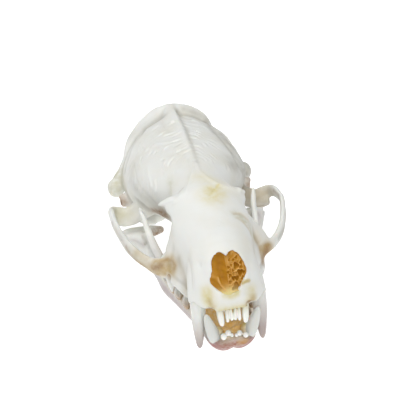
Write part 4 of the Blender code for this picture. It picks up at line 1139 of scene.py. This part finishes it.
def scroll_face(name, side, depth_at, cells):
    """A relief inside the nose's opening, closed at the back."""
    bm = bmesh.new()
    bmesh.ops.create_grid(bm, x_segments=cells, y_segments=cells * 2, size=1)
    low, high = (MIDDLE_WALL, ROOM_REACH) if side > 0 else (-ROOM_REACH, MIDDLE_WALL)
    for vert in bm.verts:
        across, up = (vert.co.x + 1) / 2, (vert.co.y + 1) / 2
        vert.co = (low + across * (high - low), 0, ROOM_FLOOR + up * ROOM_HEIGHT)
    outline = np.array([(x, z) for x, y, z in aperture_ring(3, ROOM_SIZE)])
    centre = outline.mean(0)
    bearing = np.arctan2(*(outline - centre).T[::-1])
    reach = np.hypot(*(outline - centre).T)
    order = np.argsort(bearing)

    def outside(face):
        x, _, z = face.calc_center_median()
        angle = math.atan2(z - centre[1], x - centre[0])
        edge = np.interp(angle, bearing[order], reach[order], period=2 * math.pi)
        return math.hypot(x - centre[0], z - centre[1]) > edge

    bmesh.ops.delete(bm, geom=[face for face in bm.faces if outside(face)], context="FACES")
    places = np.array([(vert.co.x, vert.co.z) for vert in bm.verts])
    depths = depth_at(places[:, 0], places[:, 1])
    hollow, pale = bm.verts.layers.float.new("depth"), bm.verts.layers.float.new("pale")
    for vert, (x, z), depth in zip(bm.verts, places, depths):
        vert.co = (x, nose_rim(x, z) + depth, z)
        vert[hollow] = depth
        vert[pale] = nose_floor(x, z)
    wall = bmesh.ops.extrude_edge_only(bm, edges=[edge for edge in bm.edges if edge.is_boundary])
    for part in wall["geom"]:
        if isinstance(part, bmesh.types.BMVert):
            part.co.y = ROOM_BACK
    bmesh.ops.holes_fill(bm, edges=[edge for edge in bm.edges if edge.is_boundary], sides=0)
    bmesh.ops.triangulate(bm, faces=[face for face in bm.faces if len(face.verts) > 4])
    bmesh.ops.recalc_face_normals(bm, faces=bm.faces)
    mesh = bpy.data.meshes.new(name)
    bm.to_mesh(mesh)
    bm.free()
    return new_object(name, mesh)


# ---------------------------------------------------------------- finishes

def linear(colour):
    """An sRGB hex colour, such as #F1F1EC, as linear red, green, blue and alpha."""
    parts = [int(colour[i:i + 2], 16) / 255 for i in (1, 3, 5)]
    return (*[c / 12.92 if c <= 0.04045 else ((c + 0.055) / 1.055) ** 2.4 for c in parts], 1)


def add(tree, kind, sockets=None, **settings):
    """Adds a node with its settings. A socket's value is a number or colour, or another node's output."""
    node = tree.nodes.new("ShaderNode" + kind)
    for name, value in settings.items():
        setattr(node, name, value)
    for name, value in (sockets or {}).items():
        if isinstance(value, bpy.types.NodeSocket):
            tree.links.new(value, node.inputs[name])
        else:
            node.inputs[name].default_value = value
    return node


def blank(name, roughness, ior, specular, subsurface=0.0, glow_depth=0.0):
    """A new material: itself, its tree, its shader and the place where it reads its patterns."""
    made = bpy.data.materials.new(name)
    made.use_nodes = True
    tree = made.node_tree
    shader = tree.nodes["Principled BSDF"]
    shader.inputs["Roughness"].default_value = roughness
    shader.inputs["IOR"].default_value = ior
    shader.inputs["Specular IOR Level"].default_value = specular
    shader.inputs["Subsurface Weight"].default_value = subsurface
    shader.inputs["Subsurface Scale"].default_value = glow_depth
    shader.inputs["Subsurface Radius"].default_value = (1.0, 0.75, 0.5)
    place = add(tree, "TexCoord").outputs["Object"]
    return made, tree, shader, place


def layered(tree, place, base, layers):
    """The base colour under stains and painted shade: each one's number on the points, its colour, the size
    of its patches in millimetres, and how much the patches let through."""
    colour = base
    for name, stain, size_mm, patchy in layers:
        amount = add(tree, "Attribute", attribute_name=name).outputs["Fac"]
        patches = add(tree, "TexNoise", {"Vector": place, "Scale": 1 / (size_mm * MM), "Detail": 5.0,
                                         "Roughness": 0.6})
        uneven = add(tree, "MapRange", {"Value": patches.outputs["Fac"], "From Min": 0.35, "From Max": 0.65,
                                        "To Min": 1 - patchy, "To Max": 1.0})
        share = add(tree, "Math", {0: amount, 1: uneven.outputs["Result"]}, operation="MULTIPLY")
        colour = add(tree, "Mix", {0: share.outputs[0], 6: colour, 7: linear(stain)},
                     data_type="RGBA").outputs[2]
    return colour


def bone_base(tree, place, colours, patch_mm):
    """Clean bone with warmer patches of that size, and a greyer film of dust and painted shade in its
    hollows.
    """
    broad = add(tree, "TexNoise", {"Vector": place, "Scale": 1 / (patch_mm * MM), "Detail": 3.0})
    warm = add(tree, "MapRange", {"Value": broad.outputs["Fac"], "From Min": 0.45, "From Max": 0.75})
    base = add(tree, "Mix", {0: warm.outputs["Result"], 6: linear(colours.bone),
                             7: linear(colours.bone_warm)}, data_type="RGBA").outputs[2]
    low = add(tree, "Attribute", attribute_name="hollow").outputs["Fac"]
    dust_and_shade = add(tree, "MapRange", {"Value": low, "From Min": 0.05, "From Max": 0.6, "To Max": 0.6})
    return add(tree, "Mix", {0: dust_and_shade.outputs["Result"], 6: base, 7: linear(colours.dust_and_shade)},
               data_type="RGBA").outputs[2]


def grained(tree, shader, place, size_mm, detail, strength, depth_mm=0.05):
    """Gives the surface a fine grain of that size."""
    grain = add(tree, "TexNoise", {"Vector": place, "Scale": 1 / (size_mm * MM), "Detail": detail})
    bump = add(tree, "Bump", {"Strength": strength, "Distance": depth_mm * MM,
                              "Height": grain.outputs["Fac"]})
    tree.links.new(bump.outputs["Normal"], shader.inputs["Normal"])


def bone(surface, colours, patch_mm, layers, grain_mm, strength):
    """Bone with its stains, its painted shade and its grain, made from a blank material."""
    made, tree, shader, place = surface
    colour = layered(tree, place, bone_base(tree, place, colours, patch_mm), layers)
    tree.links.new(colour, shader.inputs["Base Color"])
    grained(tree, shader, place, grain_mm, 6.0, strength)
    return made


def whitened_bone(colours):
    """Degreased, bleached bone. The eye gets a chalky off-white with a soft sheen where it is dense, warmer
    towards its thin edges, and old grease and dried tissue in the hollows; painted shade greys its hollows,
    grooves and shaded sides."""
    surface = blank("whitened bone", roughness=0.5, ior=1.53, specular=0.35, subsurface=0.15,
                    glow_depth=0.0009)
    return bone(surface, colours, 7, (
        ("painted_shade", colours.dust_and_shade, 2.5, 0.4), ("yellow", colours.grease, 1.6, 0.55),
        ("olive", colours.olive, 1.2, 0.7), ("tan", colours.tan, 1.5, 0.35),
        ("brown", colours.tissue, 0.9, 0.4)), 0.45, 0.35)


def stained_jaw_bone(colours):
    """The same bone on the lower jaw, which kept more grease. The eye gets a yellower, slightly shinier bone
    with dried gum at the chin, and painted shade on its outer side and the chin's sides."""
    surface = blank("grease-stained bone", roughness=0.42, ior=1.53, specular=0.4, subsurface=0.15,
                    glow_depth=0.0009)
    return bone(surface, colours, 4, (
        ("yellow", colours.grease, 1.2, 0.5), ("painted_shade", colours.jaw_painted_shade, 2.0, 0.3),
        ("pink", colours.gum, 0.7, 0.45), ("brown", colours.tissue, 0.8, 0.6),
        ("amber", colours.marrow, 0.7, 0.3)), 0.4, 0.4)


def tooth_enamel(colours, enamel, cloudy, neck):
    """Enamel over dentine. The eye gets a glassy blue-white crown that yellows towards its root, with painted
    shade greying the canines' ends.
    """
    made, tree, shader, place = blank("tooth enamel", roughness=0.2, ior=1.62, specular=0.5, subsurface=0.35,
                                      glow_depth=0.0009)
    root = add(tree, "Attribute", attribute_name="root").outputs["Fac"]
    cloud = add(tree, "TexNoise", {"Vector": place, "Scale": 1 / (1.2 * MM), "Detail": 3.0})
    crown_colour = add(tree, "Mix", {0: cloud.outputs["Fac"], 6: linear(enamel), 7: linear(cloudy)},
                       data_type="RGBA").outputs[2]
    colour = add(tree, "Mix", {0: root, 6: crown_colour, 7: linear(neck)}, data_type="RGBA").outputs[2]
    # Painted shade towards the canines' ends.
    shaded = add(tree, "Attribute", attribute_name="shaded").outputs["Fac"]
    colour = add(tree, "Mix", {0: shaded, 6: colour, 7: linear(colours.tooth_shade)},
                 data_type="RGBA").outputs[2]
    tree.links.new(colour, shader.inputs["Base Color"])
    grained(tree, shader, place, 0.3, 2.0, 0.15, 0.03)
    return made


def amber_scroll_bone(colours):
    """Paper-thin bone soaked with old grease. The eye gets amber bone, painted lighter on its edges as
    painted highlight and darker in its deep hollows as painted shade.
    """
    made, tree, shader, place = blank("amber scroll bone", roughness=0.45, ior=1.5, specular=0.12,
                                      subsurface=0.2, glow_depth=0.0005)
    # The colour runs from painted highlight at the shallow edges to painted shade in the deep hollows.
    depth = add(tree, "Attribute", attribute_name="depth").outputs["Fac"]
    deep = add(tree, "MapRange", {"Value": depth, "From Min": 0.3, "From Max": 1.15})
    ramp = add(tree, "ValToRGB", {"Fac": deep.outputs["Result"]})
    stops = ramp.color_ramp.elements
    stops[0].color = linear(colours.scroll_painted_highlight)
    stops[1].color = linear(colours.scroll_painted_shade)
    middle = stops.new(0.35)
    middle.color = linear(colours.scroll)
    patches = add(tree, "TexNoise", {"Vector": place, "Scale": 1 / (1.0 * MM), "Detail": 4.0})
    colour = add(tree, "Mix", {0: patches.outputs["Fac"], 6: ramp.outputs["Color"],
                               7: linear(colours.scroll)}, data_type="RGBA").outputs[2]
    pale = add(tree, "Attribute", attribute_name="pale").outputs["Fac"]
    lip = add(tree, "Mix", {0: pale, 6: colour, 7: linear(colours.scroll_lip)}, data_type="RGBA")
    tree.links.new(lip.outputs[2], shader.inputs["Base Color"])
    return made


def lit_table(colours, glow):
    """Opal plastic lit from below. The eye gets an even white field with next to no shadow on it."""
    made, tree, shader, place = blank("lit opal table", roughness=0.6, ior=1.49, specular=0.2)
    fibre = add(tree, "TexNoise", {"Vector": place, "Scale": 1 / (2 * MM), "Detail": 3.0})
    tint = add(tree, "Mix", {0: fibre.outputs["Fac"], 6: linear(colours.floor),
                             7: linear(colours.floor_fibre)}, data_type="RGBA")
    tree.links.new(tint.outputs[2], shader.inputs["Base Color"])
    shader.inputs["Emission Color"].default_value = (1, 1, 1, 1)
    shader.inputs["Emission Strength"].default_value = glow
    return made


# ---------------------------------------------------------------- pieces

# Edges that turn by more than this stay sharp.
SHARP_ANGLE = math.radians(55)


def set_down(obj, material, slot, *nodes):
    """Puts a finished piece where its solids lie, and hides those solids."""
    mesh = obj.data
    mesh.transform(SET_DOWN)
    points = points_of(mesh)
    points[:, 2] = np.maximum(points[:, 2], 0)
    put_points(mesh, points)
    mesh.materials.clear()
    mesh.materials.append(material)
    mesh.shade_smooth()
    mesh.set_sharp_from_angle(angle=SHARP_ANGLE)
    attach(obj, "root")
    if nodes:
        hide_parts(*nodes)


# The grids that the teeth are fused on: the larger teeth, and the front ones.
TOOTH_GRID = 0.12
INCISOR_GRID = 0.09
# Heights far below the skull: what starts to colour there never shows.
NOWHERE = (-90, -99)
# Painted shade towards the canines' ends, on each side; on the left it starts higher.
CANINE_SHADE = {1: (1.5, -6.0), -1: (-1.5, -8.5)}


def tooth_piece(name, shells, material, voxel, root, shaded=NOWHERE):
    """Teeth as one piece. The root and the last argument say from what height, in millimetres, to what height
    the neck's colour and the painted shade on the canines' ends come in.
    """
    obj = fused(name, shells, voxel, 2)
    height = points_of(obj.data)[:, 2]
    for end, (start, full) in (("root", root), ("shaded", shaded)):
        keep_amount(obj.data, end, np.clip((height - start) / (full - start), 0, 1))
    set_down(obj, material, "tooth")


def hex_colour(name, description, default):
    return bpy.props.StringProperty(name=name, description=description, default=default)


class SkullSizes(bpy.types.PropertyGroup):
    fineness: bpy.props.FloatProperty(
        name="Fineness", description="Size of the skin's facets", default=0.0003, min=0.0002,
        subtype="DISTANCE", unit="LENGTH", precision=5)


class SkullColours(bpy.types.PropertyGroup):
    bone: hex_colour("Bone", "Clean dense bone", "#E6E7E3")
    bone_warm: hex_colour("Warm bone", "Bone where it is thin or older", "#E2E1D8")
    # Dust and painted shade in the hollows, and the colour of the painted shade on the sides that lie in
    # shade.
    dust_and_shade: hex_colour("Film", "Dust and shade in the hollows", "#A9A69B")
    marrow: hex_colour("Marrow", "Spongy amber bone behind the front teeth", "#E6B660")
    tan: hex_colour("Tan", "Thin greasy bone at the cheek", "#B8A070")
    grease: hex_colour("Grease", "Old grease in the bone", "#D3C684")
    olive: hex_colour("Olive", "Dull stain on the ear region and temples", "#B9B596")
    tissue: hex_colour("Tissue", "Dried tissue in the hollows", "#93704A")
    gum: hex_colour("Gum", "Dried gum on the chin", "#93423C")
    # Painted shade on the lower jaw's outer side and chin.
    jaw_painted_shade: hex_colour("Jaw grey", "The dull outer side of the lower jaw", "#A39799")
    enamel: hex_colour("Enamel", "Tooth crowns", "#E4E7E4")
    enamel_cloud: hex_colour("Enamel cloud", "Cloudy patches of the crowns", "#DEDDD6")
    # Painted shade: the lower canines' and cheek teeth's enamel, darker than the upper canines'.
    back_enamel_shaded: hex_colour("Back enamel", "Crowns of the lower canines and cheek teeth", "#D1D5D1")
    back_cloud_shaded: hex_colour("Back cloud", "Their cloudy patches", "#CFCFC9")
    # Painted light: the small front teeth's enamel, lighter than the upper canines'.
    front_enamel_lit: hex_colour("Front enamel", "Crowns of the small front teeth", "#F6F6F2")
    front_cloud_lit: hex_colour("Front cloud", "Their cloudy patches", "#F1EFE6")
    tooth_root: hex_colour("Tooth root", "Necks and roots of the teeth", "#E0DDC8")
    tooth_tartar: hex_colour("Tartar", "Brown crust at the cheek teeth's necks", "#AD9474")
    # Painted shade on the canines' ends.
    tooth_shade: hex_colour("Dull enamel", "The canines' greyer ends", "#AA9C97")
    # Painted highlight on the scroll bones' edges.
    scroll_painted_highlight: hex_colour("Scroll edge", "Lit edges of the scroll bones", "#F0C27C")
    scroll: hex_colour("Scroll bone", "Scroll bones", "#B07A1C")
    # Painted shade in the scroll bones' deep hollows.
    scroll_painted_shade: hex_colour("Scroll hollow", "Deep hollows of the scroll bones", "#8A560E")
    scroll_lip: hex_colour("Nose floor", "The pale greasy lip under the scroll bones", "#E3D596")
    floor: hex_colour("Floor", "The pale table under the skull", "#BEBEBE")
    floor_fibre: hex_colour("Floor fibre", "Faint darker fibres in the table", "#BABABA")


class StageSettings(bpy.types.PropertyGroup):
    lens: bpy.props.FloatProperty(name="Lens", description="Focal length for a 36 mm sensor", default=83.9,
                                  min=20, unit="CAMERA")
    sky: bpy.props.FloatProperty(name="Sky", description="Strength of the light from all round", default=0.1)
    key: bpy.props.FloatProperty(name="Key", description="Power of the three soft lights together",
                                 default=4.5, unit="POWER")
    glow: bpy.props.FloatProperty(name="Glow", description="Strength of the table's own light", default=0.78)


def settings():
    scene = bpy.context.scene
    return scene.skull_sizes, scene.skull_colours, scene.skull_stage


class SKULL_OT_cranium(bpy.types.Operator):
    """Make the upper skull as one skin"""
    bl_idname = "skull.cranium"
    bl_label = "Cranium"

    def execute(self, context):
        sizes, colours, _ = settings()
        set_down(cranium(sizes), whitened_bone(colours), "bone", "muzzle", "brow", "braincase", "occiput",
                 "zygomatic_arch_left", "zygomatic_arch_right", "auditory_bulla_left",
                 "auditory_bulla_right")
        return {"FINISHED"}


class SKULL_OT_lower_jaw(bpy.types.Operator):
    """Make the two halves of the lower jaw"""
    bl_idname = "skull.lower_jaw"
    bl_label = "Lower jaw"

    def execute(self, context):
        sizes, colours, _ = settings()
        material = stained_jaw_bone(colours)
        for side, node in ((1, "mandible_left"), (-1, "mandible_right")):
            half = jaw_side(side, sizes)
            half.name = "jaw_" + node
            set_down(half, material, "jaw_bone", node)
        return {"FINISHED"}


class SKULL_OT_teeth(bpy.types.Operator):
    """Make the teeth, a piece for each canine, each row of incisors and each row of cheek teeth"""
    bl_idname = "skull.teeth"
    bl_label = "Teeth"

    def execute(self, context):
        _, colours, _ = settings()
        neck = colours.tooth_root
        enamel = tooth_enamel(colours, colours.enamel, colours.enamel_cloud, neck)
        # The front teeth get lighter enamel as painted light, the back teeth darker enamel as painted shade.
        lit_front_enamel = tooth_enamel(colours, colours.front_enamel_lit, colours.front_cloud_lit, neck)
        shaded_back_enamel = tooth_enamel(colours, colours.back_enamel_shaded, colours.back_cloud_shaded, neck)
        shaded_crusted_enamel = tooth_enamel(colours, colours.back_enamel_shaded, colours.back_cloud_shaded, colours.tooth_tartar)
        for side, word in ((1, "left"), (-1, "right")):
            for name, shells, material, root, shaded in (
                    ("upper_canine", upper_canine(), enamel, (0.6, 2.4), CANINE_SHADE[side]),
                    ("lower_canine", lower_canine(), shaded_back_enamel, (-6.4, -8.0), NOWHERE),
                    ("upper_cheek_teeth", cheek_row(UPPER_CHEEK), shaded_crusted_enamel, (0.0, 1.4), NOWHERE),
                    ("lower_cheek_teeth", cheek_row(LOWER_CHEEK), shaded_crusted_enamel, (-3.0, -5.0), NOWHERE)):
                placed = [on_side(side, shell) for shell in shells]
                tooth_piece(name + "_" + word, placed, material, TOOTH_GRID, root, shaded)
        tooth_piece("upper_incisors", upper_incisors(), lit_front_enamel, INCISOR_GRID, (-0.9, 0.4))
        tooth_piece("lower_incisors", lower_incisors(), lit_front_enamel, INCISOR_GRID, (-6.0, -7.2))
        return {"FINISHED"}


class SKULL_OT_scroll_bones(bpy.types.Operator):
    """Make the rolled bones inside the nose"""
    bl_idname = "skull.scroll_bones"
    bl_label = "Scroll bones"

    def execute(self, context):
        _, colours, _ = settings()
        material = amber_scroll_bone(colours)
        set_down(scroll_face("scroll_bones_left", 1, sponge_depth, 90), material, "scroll_bone",
                 "turbinates_left")
        set_down(scroll_face("scroll_bones_right", -1, channel_depth, 70), material, "scroll_bone",
                 "turbinates_right")
        return {"FINISHED"}


# The soft lights: each one's share of the power and its place, then their size and the point they face.
LAMPS = (("overhead", 0.46, (-0.05, 0.2, 0.56)), ("front", 0.42, (0, -0.42, 0.42)),
         ("side", 0.12, (-0.42, 0, 0.42)))
LAMP_SIZE = 0.4
LAMP_AIM = Vector((0, 0, 0.01))
# The camera's place, and its turn in degrees, fitted to the photograph.
CAMERA_PLACE = (-0.0273, -0.15215, 0.13883)
CAMERA_TURN = (51.394, 1.156, -11.215)
FLOOR_HALF = 1.5


class SKULL_OT_stage(bpy.types.Operator):
    """Make the floor, the lights and the camera"""
    bl_idname = "skull.stage"
    bl_label = "Stage"

    def execute(self, context):
        _, colours, stage = settings()
        bm = bmesh.new()
        bmesh.ops.create_grid(bm, x_segments=1, y_segments=1, size=FLOOR_HALF)
        mesh = bpy.data.meshes.new("floor")
        bm.to_mesh(mesh)
        bm.free()
        mesh.materials.append(lit_table(colours, stage.glow))
        new_object("floor", mesh)
        world = bpy.data.worlds.new("studio")
        world.use_nodes = True
        sky = world.node_tree.nodes["Background"]
        sky.inputs["Color"].default_value = (1, 1, 1, 1)
        sky.inputs["Strength"].default_value = stage.sky
        context.scene.world = world
        for name, share, place in LAMPS:
            lamp = bpy.data.lights.new(name, "AREA")
            lamp.energy = stage.key * share
            lamp.size = LAMP_SIZE
            light = bpy.data.objects.new(name, lamp)
            light.location = place
            light.rotation_euler = (LAMP_AIM - light.location).to_track_quat("-Z", "Y").to_euler()
            context.scene.collection.objects.link(light)
        lens = bpy.data.cameras.new("camera")
        lens.lens = stage.lens
        lens.sensor_width = 36
        camera = bpy.data.objects.new("camera", lens)
        camera.location = CAMERA_PLACE
        camera.rotation_euler = Euler([math.radians(angle) for angle in CAMERA_TURN])
        context.scene.collection.objects.link(camera)
        context.scene.camera = camera
        context.scene.view_settings.view_transform = "Standard"
        return {"FINISHED"}


OPERATORS = (SKULL_OT_cranium, SKULL_OT_lower_jaw, SKULL_OT_teeth, SKULL_OT_scroll_bones, SKULL_OT_stage)


class SKULL_PT_sidebar(bpy.types.Panel):
    """The skull's sizes, colours and pieces"""
    bl_idname = "SKULL_PT_sidebar"
    bl_label = "Mink skull"
    bl_space_type = "VIEW_3D"
    bl_region_type = "UI"
    bl_category = "Skull"

    def draw(self, context):
        for group in settings():
            box = self.layout.box()
            for name in group.bl_rna.properties.keys():
                if name not in ("rna_type", "name"):
                    box.prop(group, name)
        for operator in OPERATORS:
            self.layout.operator(operator.bl_idname)


CLASSES = (SkullSizes, SkullColours, StageSettings, *OPERATORS, SKULL_PT_sidebar)


def register():
    for each in CLASSES:
        bpy.utils.register_class(each)
    bpy.types.Scene.skull_sizes = bpy.props.PointerProperty(type=SkullSizes)
    bpy.types.Scene.skull_colours = bpy.props.PointerProperty(type=SkullColours)
    bpy.types.Scene.skull_stage = bpy.props.PointerProperty(type=StageSettings)


def unregister():
    del bpy.types.Scene.skull_sizes, bpy.types.Scene.skull_colours, bpy.types.Scene.skull_stage
    for each in reversed(CLASSES):
        bpy.utils.unregister_class(each)


def main():
    register()
    bpy.ops.skull.cranium()
    bpy.ops.skull.lower_jaw()
    bpy.ops.skull.teeth()
    bpy.ops.skull.scroll_bones()
    bpy.ops.skull.stage()


if __name__ == "__main__":
    main()
